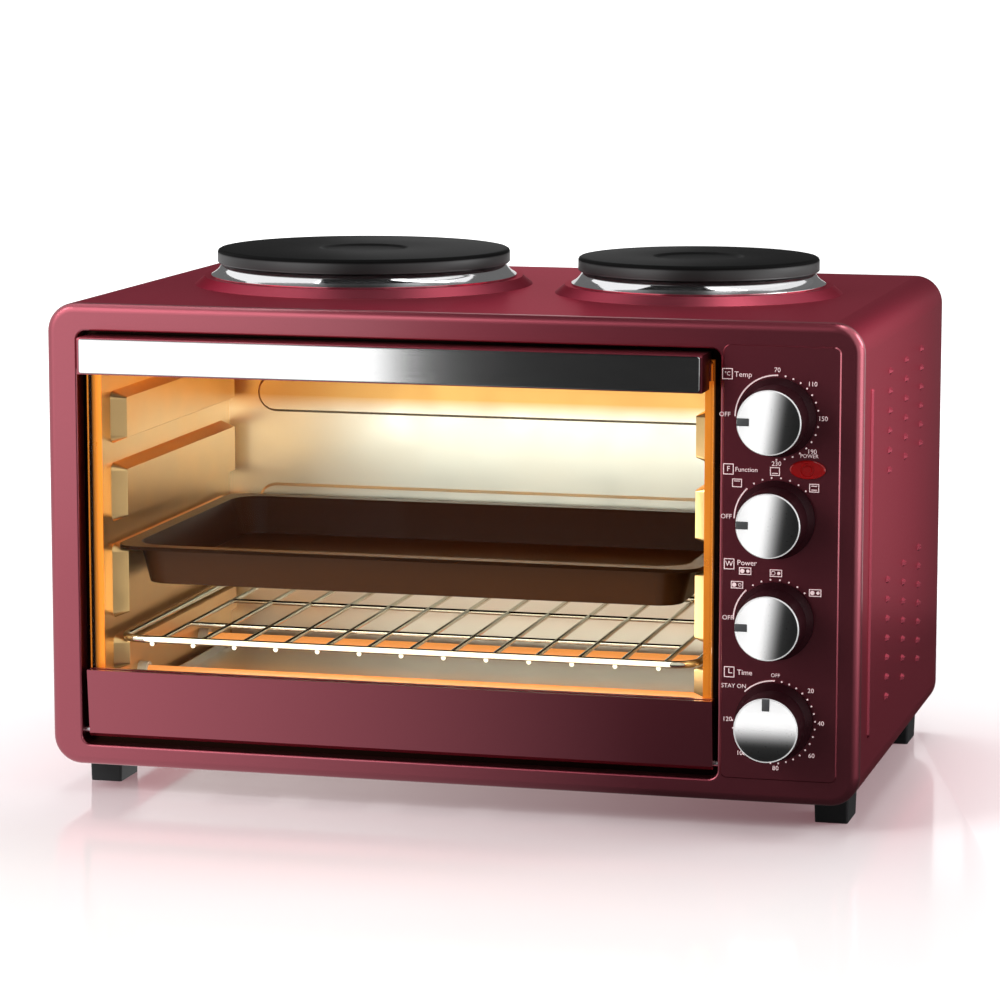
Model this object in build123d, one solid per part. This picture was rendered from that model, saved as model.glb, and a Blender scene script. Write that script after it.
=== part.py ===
from build123d import *
import math
import os

# Table-top electric oven with two hot plates. Millimetres, +Z up, the front faces -Y.
# Pieces are drawn with y = 0 on the bezel face and z = 0 under the casing, then moved so that the
# origin lies on the table, midway between the knob caps and the rear edge.

# Casing and bezel
CASE_W = 484.0
CASE_H = 275.0
CASE_D = 302.0
CORNER_R = 17.0
SHEET = 0.8
FIT = 0.2
BEZEL_T = 6.0
BEZEL_DEPTH = 11.0
EDGE_R = 5.0
FACE_T = 2.2
WALL_T = 2.0
REAR_INSET = 6.0
CASE_LIP = 36.0

# Door opening, by its margins in the bezel
RECESS_LEFT = 19.0
RECESS_RIGHT = 81.0
RECESS_FOOT = 12.5
RECESS_HEAD = 15.8
RECESS_R = 5.5
RECESS_EDGE = 1.2

# Door
DOOR_GAP = 3.5
STRIP_FOOT = 4.5
STRIP_H = 40.5
STRIP_BACK = 9.6
STRIP_TILT = 3.5
STRIP_WALL = 1.5
STRIP_HEEL = 1.5
GLASS_T = 4.0
GLASS_Y = 2.5
GLASS_SIDE = 1.5
GLASS_SINK = 7.5
GLASS_DROP = 7.2
GLASS_SEAT = 0.1
RAIL_SIDE = 3.5
RAIL_DROP = 2.2
RAIL_H = 21.2
RAIL_FRONT = -18.0
RAIL_BACK = 8.5
RAIL_WALL = 2.0
RAIL_GRIP = 12.0
BAR_T = 1.0
BAR_MARGIN = 1.2
BAR_Z_MARGIN = 0.5

# Hinge and stay arms
HINGE_Y = 7.2
HINGE_RISE = 3.3
PIN_R = 1.8
RUN_FIT = 0.06
PIN_HEAD_R = 2.3
PIN_HEAD_T = 1.3
ARM_R = (27.0, 33.0)
ARM_T = 1.5
ARM_SWEEP = 105.0
ARM_TAB = 4.0
ARM_SLOT = 0.7

# Cavity
CAVITY_SIDE = 11.0
CAVITY_FOOT = 17.5
CAVITY_HEAD = 9.2
CAVITY_REAR = 54.0
FRAME_T = 1.0
GUIDE_DEPTH = 9.0
GUIDE_FRONT = 14.0
GUIDE_REAR = 12.0
GUIDE_SHARE = ((0.1, 0.2005), (0.2455, 0.4518), (0.509, 0.673), (0.723, 0.868))
GUIDE_TAPER = 22.0
OVAL_SIDE = 19.0
OVAL_H = 26.0
OVAL_SHARE = (0.427, 0.75)
OVAL_DEPTH = 2.0

# Heaters
HEATER_R = 3.3
HEATER_FRONT = 60.0
HEATER_REAR = 62.0
HEATER_FOOT = 14.5
HEATER_HEAD = 14.0
HEATER_TAIL = 13.0
COLLAR_R = 5.5
COLLAR_FLANGE_R = 7.5
COLLAR_REACH = 6.0

# Racks and trays
SLIDE_GAP = 0.3
RACK_SIDE = 4.5
RACK_FRONT = 5.0
RACK_REAR = 10.0
FRAME_WIRE_R = 2.2
CROSS_WIRE_R = 1.4
CROSS_DROP = 2.3
CROSS_PITCH = 25.6
RACK_CORNER = 14.0
TRAY_FRONT = 4.0
TRAY_RIM = 8.0
TRAY_DEPTH = 24.0
TRAY_T = 0.9
TRAY_TAPER = 14.0
CRUMB_SIDE = 5.0
CRUMB_FRONT = 3.0
CRUMB_REAR = 12.0
CRUMB_H = 6.0

# Hot plates: margins of their bosses, and the large plate's share of the two diameters
PLATE_LEFT = 41.0
PLATE_GAP = 21.5
PLATE_RIGHT = 40.5
LARGE_SHARE = 36 / 65
LARGE_SHIFT = 17.0
SMALL_SHIFT = 9.0
PLATE_T = 9.0
RING_RISE = 8.0
BOSS_RISE = 5.0
BOSS_MARGIN = 14.0
BOSS_SLOPE = 6.0
RING_MARGIN = 4.0
PLATE_NECK = 8.0
PLATE_BODY = 22.0
PLATE_WALL = 8.0
PLATE_FLOOR = 12.0
STRAP_W = 26.0
STRAP_T = 1.6
STUD_R = 3.0

# Controls
KNOB_SIDE = 48.5
KNOB_FOOT = 48.0
KNOB_HEAD = 53.3
KNOB_REACH = 27.0
SKIRT_SHARE = 0.385
SKIRT_FLARE = 3.9
CAP_T = 1.2
CAP_FIT = 0.1
POINTER_W = 4.5
POINTER_L = 7.0
SPINDLE_R = 3.0
SPINDLE_FRONT = -20.0
SPINDLE_BACK = 15.0
FLAT_Y = -8.0
BUSH_R = 4.8
FASCIA_RISE = 0.8
FASCIA_LEFT = 1.4
FASCIA_RIGHT = 12.5
FASCIA_FOOT = 14.0
FASCIA_HEAD = 13.0
LAMP_SHIFT = 17.8
LAMP_W = 20.4
LAMP_H = 10.6
LAMP_DISH_R = 4.1
THERMOSTAT_BACK = 34.0
BULB_SIDE = 5.0
BULB_SHARE = 0.891
BULB_R = 2.6
BULB_TUBE_R = 1.0
BULB_Y = (100.0, 160.0)
BULB_TURN_Y = 90.0
GLAND_SIDE = 46.0
GLAND_Z = 38.0
GLAND_HOLE_R = 8.0
SHIELD_GAP = 16.0
SHIELD_TOP = 7.0

# Vents, beads, feet
VENT_Y = (98.0, 158.6, 219.2)
VENT_SHARE = (0.8673, 0.4218)
VENT_COUNT = (6, 7)
VENT_PITCH = 11.6
VENT_L = 14.0
VENT_H = 4.8
VENT_RISE = 1.8
BEAD_Y = 31.0
BEAD_FOOT = 34.0
BEAD_HEAD = 38.5
BEAD_W = 6.0
BEAD_RISE = 1.2
FOOT_H = 17.0
FOOT_W = 20.3
FOOT_L = 31.0
FOOT_SIDE = 21.0
FOOT_FRONT = 49.0
FOOT_REAR = 27.0

# Places that follow from these
PANEL_BACK = FACE_T
REAR_Y = CASE_D - REAR_INSET
RECESS_X = (RECESS_LEFT - CASE_W / 2, CASE_W / 2 - RECESS_RIGHT)
RECESS_Z = (RECESS_FOOT, CASE_H - RECESS_HEAD)
DOOR_X = sum(RECESS_X) / 2
DOOR_SPAN = (RECESS_X[0] + DOOR_GAP, RECESS_X[1] - DOOR_GAP)
STRIP_Z = (RECESS_Z[0] + STRIP_FOOT, RECESS_Z[0] + STRIP_FOOT + STRIP_H)
HINGE_Z = STRIP_Z[0] + HINGE_RISE
GLASS_Z = (STRIP_Z[1] - GLASS_SINK, RECESS_Z[1] - GLASS_DROP)
RAIL_Z = (RECESS_Z[1] - RAIL_DROP - RAIL_H, RECESS_Z[1] - RAIL_DROP)

FRAME_Y = BEZEL_DEPTH
CAVITY_X = (RECESS_X[0] + CAVITY_SIDE, RECESS_X[1] - CAVITY_SIDE)
CAVITY_Y = FRAME_Y + FRAME_T
CAVITY_BACK = CASE_D - CAVITY_REAR
CAVITY_Z = (RECESS_Z[0] + CAVITY_FOOT, RECESS_Z[1] - CAVITY_HEAD)
GUIDE_Y = (CAVITY_Y + GUIDE_FRONT, CAVITY_BACK - GUIDE_REAR)
HEATER_Y = (CAVITY_Y + HEATER_FRONT, CAVITY_BACK - HEATER_REAR)
LOW_HEATER_Z = CAVITY_Z[0] + HEATER_FOOT
TOP_HEATER_Z = CAVITY_Z[1] - HEATER_HEAD
RACK_Y = (CAVITY_Y + RACK_FRONT, CAVITY_BACK - RACK_REAR)
TRAY_Y = (CAVITY_Y + TRAY_FRONT, CAVITY_BACK - RACK_REAR)
CRUMB_Y = (CAVITY_Y + CRUMB_FRONT, CAVITY_BACK - CRUMB_REAR)

BOSS_Z = CASE_H + BOSS_RISE
PLATE_Z = BOSS_Z + RING_RISE
PLATE_RADII = (CASE_W - PLATE_LEFT - PLATE_GAP - PLATE_RIGHT) / 2 - 2 * BOSS_MARGIN
LARGE_R = LARGE_SHARE * PLATE_RADII
SMALL_R = PLATE_RADII - LARGE_R
LARGE_X = PLATE_LEFT + BOSS_MARGIN + LARGE_R - CASE_W / 2
SMALL_X = CASE_W / 2 - PLATE_RIGHT - BOSS_MARGIN - SMALL_R

KNOB_X = CASE_W / 2 - KNOB_SIDE
KNOB_PITCH = (CASE_H - KNOB_FOOT - KNOB_HEAD) / 3
KNOB_Z = [KNOB_FOOT + KNOB_PITCH * i for i in range(4)]
SKIRT_R = SKIRT_SHARE * KNOB_PITCH
KNOB_R = SKIRT_R - SKIRT_FLARE
CAP_R = KNOB_R - CAP_FIT
LAMP_X = KNOB_X + LAMP_SHIFT
LAMP_Z = KNOB_Z[2] + KNOB_PITCH / 2
BULB_X = CAVITY_X[1] - BULB_SIDE
GLAND_X = CASE_W / 2 - GLAND_SIDE
SHIELD_X = CAVITY_X[1] + SHIELD_GAP
BEAD_Z = (BEAD_FOOT, CASE_H - BEAD_HEAD)
FOOT_X = CASE_W / 2 - FOOT_SIDE
FOOT_Y = (FOOT_FRONT, CASE_D - FOOT_REAR)
PLACE = Pos(0, (KNOB_REACH - CASE_D) / 2, FOOT_H)


def block(x, y, z):
    """Box between three (low, high) pairs."""
    centre = Pos((x[0] + x[1]) / 2, (y[0] + y[1]) / 2, (z[0] + z[1]) / 2)
    return centre * Box(x[1] - x[0], y[1] - y[0], z[1] - z[0])


def along_y(sketch, x, z, y, taper=0.0):
    """Sketch drawn as seen from the front, extruded from y[1] forwards to y[0]."""
    return extrude(Plane.XZ.offset(-y[1]) * Pos(x, z) * sketch, y[1] - y[0], taper=taper)


def along_x(sketch, y, z, x, taper=0.0):
    """Sketch drawn in the side view, extruded from x[0] to x[1]."""
    return extrude(Plane.YZ.offset(x[0]) * Pos(y, z) * sketch, x[1] - x[0], taper=taper)


def panel(x, z, y, r, taper=0.0):
    """Rounded rectangle facing the viewer."""
    sketch = RectangleRounded(x[1] - x[0], z[1] - z[0], r)
    return along_y(sketch, (x[0] + x[1]) / 2, (z[0] + z[1]) / 2, y, taper)


def tray_block(x, y, z, r, taper=0.0):
    """Rounded rectangle in plan, extruded down from z[1] to z[0]."""
    sketch = RectangleRounded(x[1] - x[0], y[1] - y[0], r)
    plane = Plane.XY.offset(z[1]) * Pos((x[0] + x[1]) / 2, (y[0] + y[1]) / 2)
    return extrude(plane * sketch, -(z[1] - z[0]), taper=taper)


def turned_y(points, x, z):
    """Closed (radius, y) outline turned about a line along Y through (x, z)."""
    return Pos(x, 0, z) * revolve(make_face(Polyline(*points, close=True)), Axis.Y)


def turned_z(points, x, y):
    """Closed (radius, z) outline turned about a vertical line through (x, y)."""
    return Pos(x, y, 0) * revolve(Plane.XZ * make_face(Polyline(*points, close=True)), Axis.Z)


def side_profile(points, x):
    """Closed (y, z) outline extruded between x[0] and x[1]."""
    return extrude(Plane.YZ.offset(x[0]) * make_face(Polyline(*points, close=True)), x[1] - x[0])


def mirrored(shape, x=0.0):
    return mirror(shape, about=Plane.YZ.offset(x))


def grouped(shapes):
    """Loose solids of one piece or set, kept apart."""
    return Compound([solid for shape in shapes for solid in shape.solids()])


def case_outline(inset, y):
    """The body's rounded outline, drawn in by inset."""
    return panel((inset - CASE_W / 2, CASE_W / 2 - inset), (inset, CASE_H - inset), y, CORNER_R - inset)


def cavity_height(share):
    """Height at a share of the way from the cavity's floor to its top."""
    return CAVITY_Z[0] + share * (CAVITY_Z[1] - CAVITY_Z[0])


BULB_Z = cavity_height(BULB_SHARE)


def on_guide(index, reach, r=0.0):
    """Height at which a wire or edge of radius r, this far from the wall, rests on a guide's top."""
    slope = math.radians(GUIDE_TAPER)
    crest = cavity_height(GUIDE_SHARE[index][1])
    return crest - reach * math.tan(slope) + (r + SLIDE_GAP) / math.cos(slope)


def recess_outline(grow, y):
    return panel((RECESS_X[0] - grow, RECESS_X[1] + grow), (RECESS_Z[0] - grow, RECESS_Z[1] + grow), y,
                 RECESS_R + grow)


# Body shell

def front_panel():
    """Bezel and control fascia: a hollow moulding with a collar round the door opening."""
    body = case_outline(0, (0, BEZEL_T))
    body = fillet(body.faces().sort_by(Axis.Y)[0].edges(), EDGE_R)
    spigot = SHEET + FIT
    body += case_outline(spigot, (BEZEL_T, BEZEL_DEPTH))
    body -= case_outline(spigot + WALL_T, (FACE_T, BEZEL_DEPTH)) - recess_outline(WALL_T, (0, BEZEL_DEPTH))
    body -= recess_outline(0, (-1, BEZEL_DEPTH + 1))
    face = body.faces().filter_by(Axis.Y).sort_by(Axis.Y)[0]
    body = fillet(face.inner_wires()[0].edges(), RECESS_EDGE)
    body += panel((RECESS_X[1] + FASCIA_LEFT, CASE_W / 2 - FASCIA_RIGHT), (FASCIA_FOOT, CASE_H - FASCIA_HEAD),
                  (-FASCIA_RISE, 0), 4.0, taper=40)
    for z in KNOB_Z:
        body -= along_y(Circle(BUSH_R + RUN_FIT), KNOB_X, z, (-2, FACE_T + 1))
    body -= along_y(lamp_oval(0.8), LAMP_X, LAMP_Z, (-2, FACE_T + 1))
    body -= along_x(Circle(PIN_R + RUN_FIT), HINGE_Y, HINGE_Z, (RECESS_X[0] - 4, RECESS_X[1] + 4))
    return body


def casing_boss(x, y, plate_r):
    """Pressed ring that carries one hot plate, as (radius, z) sheet section."""
    foot, top = plate_r + BOSS_MARGIN, plate_r + BOSS_MARGIN - BOSS_SLOPE
    hole = plate_r - PLATE_NECK
    points = [(foot + 1, CASE_H - SHEET), (foot + 1, CASE_H), (foot, CASE_H), (top, BOSS_Z), (hole, BOSS_Z),
              (hole, BOSS_Z - SHEET), (top - 0.3, BOSS_Z - SHEET), (foot - 0.3, CASE_H - SHEET)]
    return turned_z(points, x, y)


def vent_drop():
    """One punched half-drop on the right side: a hood that falls from its blunt front end to its tail."""
    x = CASE_W / 2
    l, h = VENT_L / 2, VENT_H / 2
    rim = [(-l, -0.5 * h), (-0.4 * l, -h), (l, 0), (-0.4 * l, h), (-l, 0.5 * h)]
    top = [(-0.6 * l, -0.2 * h), (0, -0.1 * h), (0, 0.1 * h), (-0.3 * l, 0.3 * h), (-0.6 * l, 0.2 * h)]
    foot = Plane.YZ.offset(x) * Polygon(*rim, align=None)
    crest = Plane.YZ.offset(x + VENT_RISE) * Polygon(*top, align=None)
    return loft([foot.face(), crest.face()])


def outer_casing():
    """Top, both sides and the turned-in bottom lips, wrapped from one sheet."""
    length = (BEZEL_T, CASE_D)
    body = case_outline(0, length) - case_outline(SHEET, length)
    open_x = CASE_W / 2 - CASE_LIP
    body -= block((-open_x, open_x), (0, CASE_D + 1), (-1, SHEET + 1))
    for x, y, r in plates():
        foot = r + BOSS_MARGIN
        body -= Pos(x, y, CASE_H - 5) * Cylinder(foot, 20)
        body += casing_boss(x, y, r)
    drop = vent_drop()
    slit = block((CASE_W / 2 - 2, CASE_W / 2 + 0.5 * VENT_RISE), (-0.2 * VENT_L, 0.1 * VENT_L), (-0.8, 0.8))
    rows = []
    for share, count in zip(VENT_SHARE, VENT_COUNT):
        rows += [share * CASE_H - i * VENT_PITCH for i in range(count)]
    spots = [Pos(0, y, z) for y in VENT_Y for z in rows]
    bead = along_x(SlotOverall(BEAD_Z[1] - BEAD_Z[0], BEAD_W, rotation=90), BEAD_Y, sum(BEAD_Z) / 2,
                   (CASE_W / 2 - SHEET, CASE_W / 2 + BEAD_RISE), taper=35)
    right = [bead] + [spot * drop for spot in spots]
    slits = [spot * slit for spot in spots]
    body = body.fuse(*right, *[mirrored(s) for s in right])
    return body.cut(*slits, *[mirrored(s) for s in slits])


def rear_panel():
    """Flanged sheet inside the casing's rear end, with vent slots and the cord bush hole."""
    inset = SHEET + FIT
    flange = REAR_Y - 8
    body = case_outline(inset, (flange, REAR_Y)) - case_outline(inset + SHEET, (flange, REAR_Y - SHEET))
    slot = along_y(SlotOverall(34, 3.2), 0, 0, (REAR_Y - 2, REAR_Y + 1))
    for x in (-150, -105, -60, -15, 30, 75, 120):
        for drop in (27, 37, 47):
            body -= Pos(x, 0, CASE_H - drop) * slot
    for i in range(12):
        body -= Pos(GLAND_X - 9, 0, CASE_H - 61 - 10 * i) * slot
    return body - along_y(Circle(GLAND_HOLE_R), GLAND_X, GLAND_Z, (REAR_Y - 2, REAR_Y + 1))


def cord_gland():
    """Split bush that grips the supply cord in the rear panel."""
    r = GLAND_HOLE_R - RUN_FIT
    inner, outer = REAR_Y - 9, REAR_Y + 4.5
    return turned_y([(4.2, inner), (r, inner), (r, REAR_Y), (r + 2.5, REAR_Y), (r + 2.5, REAR_Y + 2),
                     (r - 1, outer), (4.2, outer)], GLAND_X, GLAND_Z)


def base_pan():
    """Bottom sheet on the casing's lips, with stiffening beads and vent slots."""
    x = CASE_W / 2 - CORNER_R - 1
    y = (BEZEL_DEPTH + 1, REAR_Y - 9)
    pan = block((-x, x), y, (SHEET, 2 * SHEET))
    for side in (-x, x - SHEET):
        pan += block((side, side + SHEET), y, (SHEET, 8))
    slot = Pos(0, 0, SHEET) * extrude(SlotOverall(40, 4), 5, both=True)
    for sx in (-150, -90, -30, 30, 90, 150):
        for sy in (70, 82, 94, 190, 202, 214):
            pan -= Pos(sx, sy, 0) * slot
    return pan


def foot(side, y):
    """Block foot with tapered walls and a countersunk screw hole."""
    body = tray_block((-FOOT_W / 2, FOOT_W / 2), (-FOOT_L / 2, FOOT_L / 2), (-FOOT_H, 0), 2.0, taper=2)
    body -= Pos(0, 0, -FOOT_H) * Cylinder(4.2, 10) + Cylinder(2.1, 3 * FOOT_H)
    return Pos(side * FOOT_X, y, 0) * body


# Cavity

def front_frame():
    """Flat frame round the cavity's mouth, with a slot for each stay arm."""
    frame = recess_outline(WALL_T - FIT, (FRAME_Y, CAVITY_Y))
    frame -= block(CAVITY_X, (FRAME_Y - 1, CAVITY_Y + 1), CAVITY_Z)
    low = math.sqrt(ARM_R[0] ** 2 - (CAVITY_Y - HINGE_Y) ** 2) + HINGE_Z - ARM_SLOT
    high = math.sqrt(ARM_R[1] ** 2 - (FRAME_Y - HINGE_Y) ** 2) + HINGE_Z + ARM_SLOT
    for x in arm_spans():
        frame -= block((x[0] - ARM_SLOT, x[1] + ARM_SLOT), (FRAME_Y - 1, CAVITY_Y + 1), (low, high))
    return frame


def cavity_left():
    """Side wall with four pressed guides; trays run in the channels between them."""
    x = CAVITY_X[0]
    wall = block((x - SHEET, x), (CAVITY_Y, CAVITY_BACK), CAVITY_Z)
    length = GUIDE_Y[1] - GUIDE_Y[0]
    for share in GUIDE_SHARE:
        low, high = cavity_height(share[0]), cavity_height(share[1])
        where = (sum(GUIDE_Y) / 2, (low + high) / 2)
        skin = RectangleRounded(length, high - low, 5)
        core = RectangleRounded(length - 2 * SHEET, high - low - 2 * SHEET, 5 - SHEET)
        wall += along_x(skin, *where, (x - SHEET, x + GUIDE_DEPTH), GUIDE_TAPER)
        wall -= along_x(core, *where, (x - SHEET, x + GUIDE_DEPTH - SHEET), GUIDE_TAPER)
    for y in HEATER_Y:
        for z in (LOW_HEATER_Z, TOP_HEATER_Z):
            wall -= along_x(Circle(COLLAR_R + RUN_FIT), y, z, (x - 2, x + 2))
    return wall


def cavity_right():
    wall = mirrored(cavity_left(), DOOR_X)
    return wall - along_x(Circle(BULB_TUBE_R + 0.3), BULB_TURN_Y, BULB_Z, (CAVITY_X[1] - 2, CAVITY_X[1] + 2))


def cavity_back():
    """Rear wall with two shallow pressed ovals."""
    x = (CAVITY_X[0] - SHEET, CAVITY_X[1] + SHEET)
    wall = block(x, (CAVITY_BACK, CAVITY_BACK + SHEET), CAVITY_Z)
    length = CAVITY_X[1] - CAVITY_X[0] - 2 * OVAL_SIDE
    for share in OVAL_SHARE:
        where = (DOOR_X, cavity_height(share))
        skin, core = SlotOverall(length, OVAL_H), SlotOverall(length - 2 * SHEET, OVAL_H - 2 * SHEET)
        wall += along_y(skin, *where, (CAVITY_BACK - OVAL_DEPTH, CAVITY_BACK + SHEET), 40)
        wall -= along_y(core, *where, (CAVITY_BACK - OVAL_DEPTH + SHEET, CAVITY_BACK + SHEET), 40)
    return wall


def cavity_lid(low):
    """Top or floor sheet with flanges on the front frame and over the rear wall."""
    x = (CAVITY_X[0] - SHEET, CAVITY_X[1] + SHEET)
    y = (CAVITY_Y, CAVITY_BACK + SHEET)
    z = (CAVITY_Z[0] - SHEET, CAVITY_Z[0]) if low else (CAVITY_Z[1], CAVITY_Z[1] + SHEET)
    lip = (z[0] - 7, z[1]) if low else (z[0], z[1] + 7)
    rib = (z[0] - 2, z[1]) if low else (z[0], z[1] + 2)
    sheet = block(x, y, z) + block(x, (y[0], y[0] + SHEET), lip)
    for rib_y in (100, 150, 200):
        sheet += block((x[0] + 12, x[1] - 12), (rib_y - 3, rib_y + 3), rib)
    return sheet


def heaters(z):
    """Two straight sheathed tubes with terminal pins at both ends."""
    x = (CAVITY_X[0] - HEATER_TAIL, CAVITY_X[1] + HEATER_TAIL)
    pins = (x[0] - 6, x[1] + 2)
    return grouped([along_x(Circle(HEATER_R), y, z, x) + along_x(Circle(1.2), y, z, pins) for y in HEATER_Y])


def heater_collars():
    """Ceramic bushes that hold the tubes in the side walls."""
    x = CAVITY_X[0]
    rings = []
    for y in HEATER_Y:
        for z in (LOW_HEATER_Z, TOP_HEATER_Z):
            ring = along_x(Circle(COLLAR_R), y, z, (x - SHEET, x + COLLAR_REACH))
            ring += along_x(Circle(COLLAR_FLANGE_R), y, z, (x - SHEET - 4, x - SHEET))
            ring -= along_x(Circle(HEATER_R + RUN_FIT), y, z, (x - 20, x + 20))
            rings += [ring, mirrored(ring, DOOR_X)]
    return grouped(rings)


def thermostat_bulb():
    """Sensing bulb along the right wall, its capillary tube and two wall clips."""
    bulb = along_y(Circle(BULB_R), BULB_X, BULB_Z, BULB_Y)
    back = THERMOSTAT_BACK
    path = FilletPolyline((BULB_X, BULB_Y[0], BULB_Z), (BULB_X, BULB_TURN_Y, BULB_Z),
                          (KNOB_X, BULB_TURN_Y, BULB_Z), (KNOB_X, back, BULB_Z), radius=6)
    tube = sweep(Plane(origin=path @ 0, z_dir=path % 0) * Circle(BULB_TUBE_R), path=path)
    body = bulb + tube
    for y in (112, 148):
        body += block((BULB_X, CAVITY_X[1]), (y - 3, y + 3), (BULB_Z - 0.8, BULB_Z + 0.8))
    return body


# Racks and trays

def wire_rack():
    """Round-cornered wire frame, with cross wires welded under it whose ends show below its front."""
    x = (CAVITY_X[0] + RACK_SIDE, CAVITY_X[1] - RACK_SIDE)
    r = FRAME_WIRE_R
    z = on_guide(0, RACK_SIDE + r, r)
    width, depth = x[1] - x[0] - 2 * r, RACK_Y[1] - RACK_Y[0] - 2 * r
    loop = Plane.XY.offset(z) * Pos(DOOR_X, sum(RACK_Y) / 2) * RectangleRounded(width, depth, RACK_CORNER)
    path = loop.wires()[0]
    start = Plane(origin=path @ 0, z_dir=path % 0)
    rack = sweep(start * Circle(r), path=path, transition=Transition.RIGHT)
    cross_z = z - CROSS_DROP
    ends = (RACK_Y[0] + 0.6, RACK_Y[1] - 0.6)
    gaps = int((width - 2 * RACK_CORNER) / CROSS_PITCH)
    outer = CROSS_PITCH * gaps / 2
    span = (DOOR_X - outer, DOOR_X + outer)
    wire = Circle(CROSS_WIRE_R)
    wires = [along_y(wire, span[0] + CROSS_PITCH * i, cross_z, ends) for i in range(gaps + 1)]
    wires += [along_x(wire, y, cross_z, span) for y in (ends[0] + 68, ends[1] - 68)]
    return rack.fuse(*wires)


def baking_tray():
    """Pressed tray with sloping walls, a flat rim and a turned-down edge."""
    x = (CAVITY_X[0] + RACK_SIDE, CAVITY_X[1] - RACK_SIDE)
    top = on_guide(1, RACK_SIDE) + 2.2
    inner = ((x[0] + TRAY_RIM, x[1] - TRAY_RIM), (TRAY_Y[0] + TRAY_RIM, TRAY_Y[1] - TRAY_RIM))
    tray = tray_block(x, TRAY_Y, (top - 2.2, top), 14)
    tray -= tray_block((x[0] + TRAY_T, x[1] - TRAY_T), (TRAY_Y[0] + TRAY_T, TRAY_Y[1] - TRAY_T),
                       (top - 2.2, top - TRAY_T), 14 - TRAY_T)
    tray += tray_block(*inner, (top - TRAY_DEPTH, top), 20, TRAY_TAPER)
    shrink = [(a + TRAY_T, b - TRAY_T) for a, b in inner]
    return tray - tray_block(*shrink, (top - TRAY_DEPTH + TRAY_T, top + 0.01), 20 - TRAY_T, TRAY_TAPER)


def crumb_tray():
    """Shallow pan on the cavity floor with a finger lip at the front."""
    x = (CAVITY_X[0] + CRUMB_SIDE, CAVITY_X[1] - CRUMB_SIDE)
    low = CAVITY_Z[0] + SLIDE_GAP
    pan = tray_block(x, CRUMB_Y, (low, low + CRUMB_H), 3)
    pan -= tray_block((x[0] + SHEET, x[1] - SHEET), (CRUMB_Y[0] + SHEET, CRUMB_Y[1] - SHEET),
                      (low + SHEET, low + CRUMB_H + 1), 3 - SHEET)
    lip = (low + CRUMB_H - SHEET, low + CRUMB_H)
    return pan + block((DOOR_X - 40, DOOR_X + 40), (CRUMB_Y[0] - 2, CRUMB_Y[0] + SHEET), lip)


# Hot plates

def plates():
    """Centre and radius of the large and the small plate."""
    return (LARGE_X, CASE_D / 2 + LARGE_SHIFT, LARGE_R), (SMALL_X, CASE_D / 2 + SMALL_SHIFT, SMALL_R)


def hot_plate(x, y, r):
    """Cast disc: shallow centre recess on top, and below a rim wall, a hub and the fixing stud."""
    top, low = PLATE_Z + PLATE_T, BOSS_Z + 6.5 - PLATE_BODY
    neck = r - PLATE_NECK - 3
    under = top - PLATE_FLOOR
    hub, wall = STUD_R + PLATE_WALL, neck - PLATE_WALL
    return turned_z([(0, low - 8), (STUD_R, low - 8), (STUD_R, low), (hub, low), (hub, under), (wall, under),
                     (wall, low), (neck, low), (neck, PLATE_Z), (r, PLATE_Z), (r, top - 1.6), (r - 1.6, top),
                     (27, top), (24, top - 1.2), (0, top - 1.2)], x, y)


def trim_ring(x, y, r):
    """Flared bright ring between the plate's rim and the pressed boss."""
    t = SHEET
    outer = r + RING_MARGIN
    points = [(r - 9, PLATE_Z - t), (r - 9, PLATE_Z), (r - 4.5, PLATE_Z), (r - 1, PLATE_Z - 3.2),
              (outer, BOSS_Z + 1.2), (outer, BOSS_Z), (outer - 2.5, BOSS_Z), (r - 1.8, PLATE_Z - 4.0),
              (r - 5.2, PLATE_Z - t)]
    return turned_z(points, x, y)


def clamp_strap(x, y, r):
    """Hat-shaped strap under the casing that draws the plate down, and its nut."""
    under = BOSS_Z - SHEET
    low = BOSS_Z + 6.5 - PLATE_BODY - 0.2 - STRAP_T
    leg = r - PLATE_NECK + 1.5
    end = leg + 8
    t = STRAP_T
    half = [(0, low), (leg + t, low), (leg + t, under - t), (end, under - t), (end, under), (leg, under),
            (leg, low + t), (0, low + t)]
    outline = half + [(-a, b) for a, b in reversed(half[1:-1])]
    face = make_face(Polyline(*outline, close=True))
    strap = Pos(x, y + STRAP_W / 2, 0) * extrude(Plane.XZ * face, STRAP_W)
    strap -= Pos(x, y, low) * Cylinder(STUD_R + 0.4, 12)
    nut = Pos(x, y, low - 3.2) * extrude(RegularPolygon(5.6, 6), 3.2)
    return [strap, nut - Pos(x, y, low) * Cylinder(STUD_R + RUN_FIT, 12)]


def plate_straps():
    return grouped([piece for spec in plates() for piece in clamp_strap(*spec)])


# Door

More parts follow.
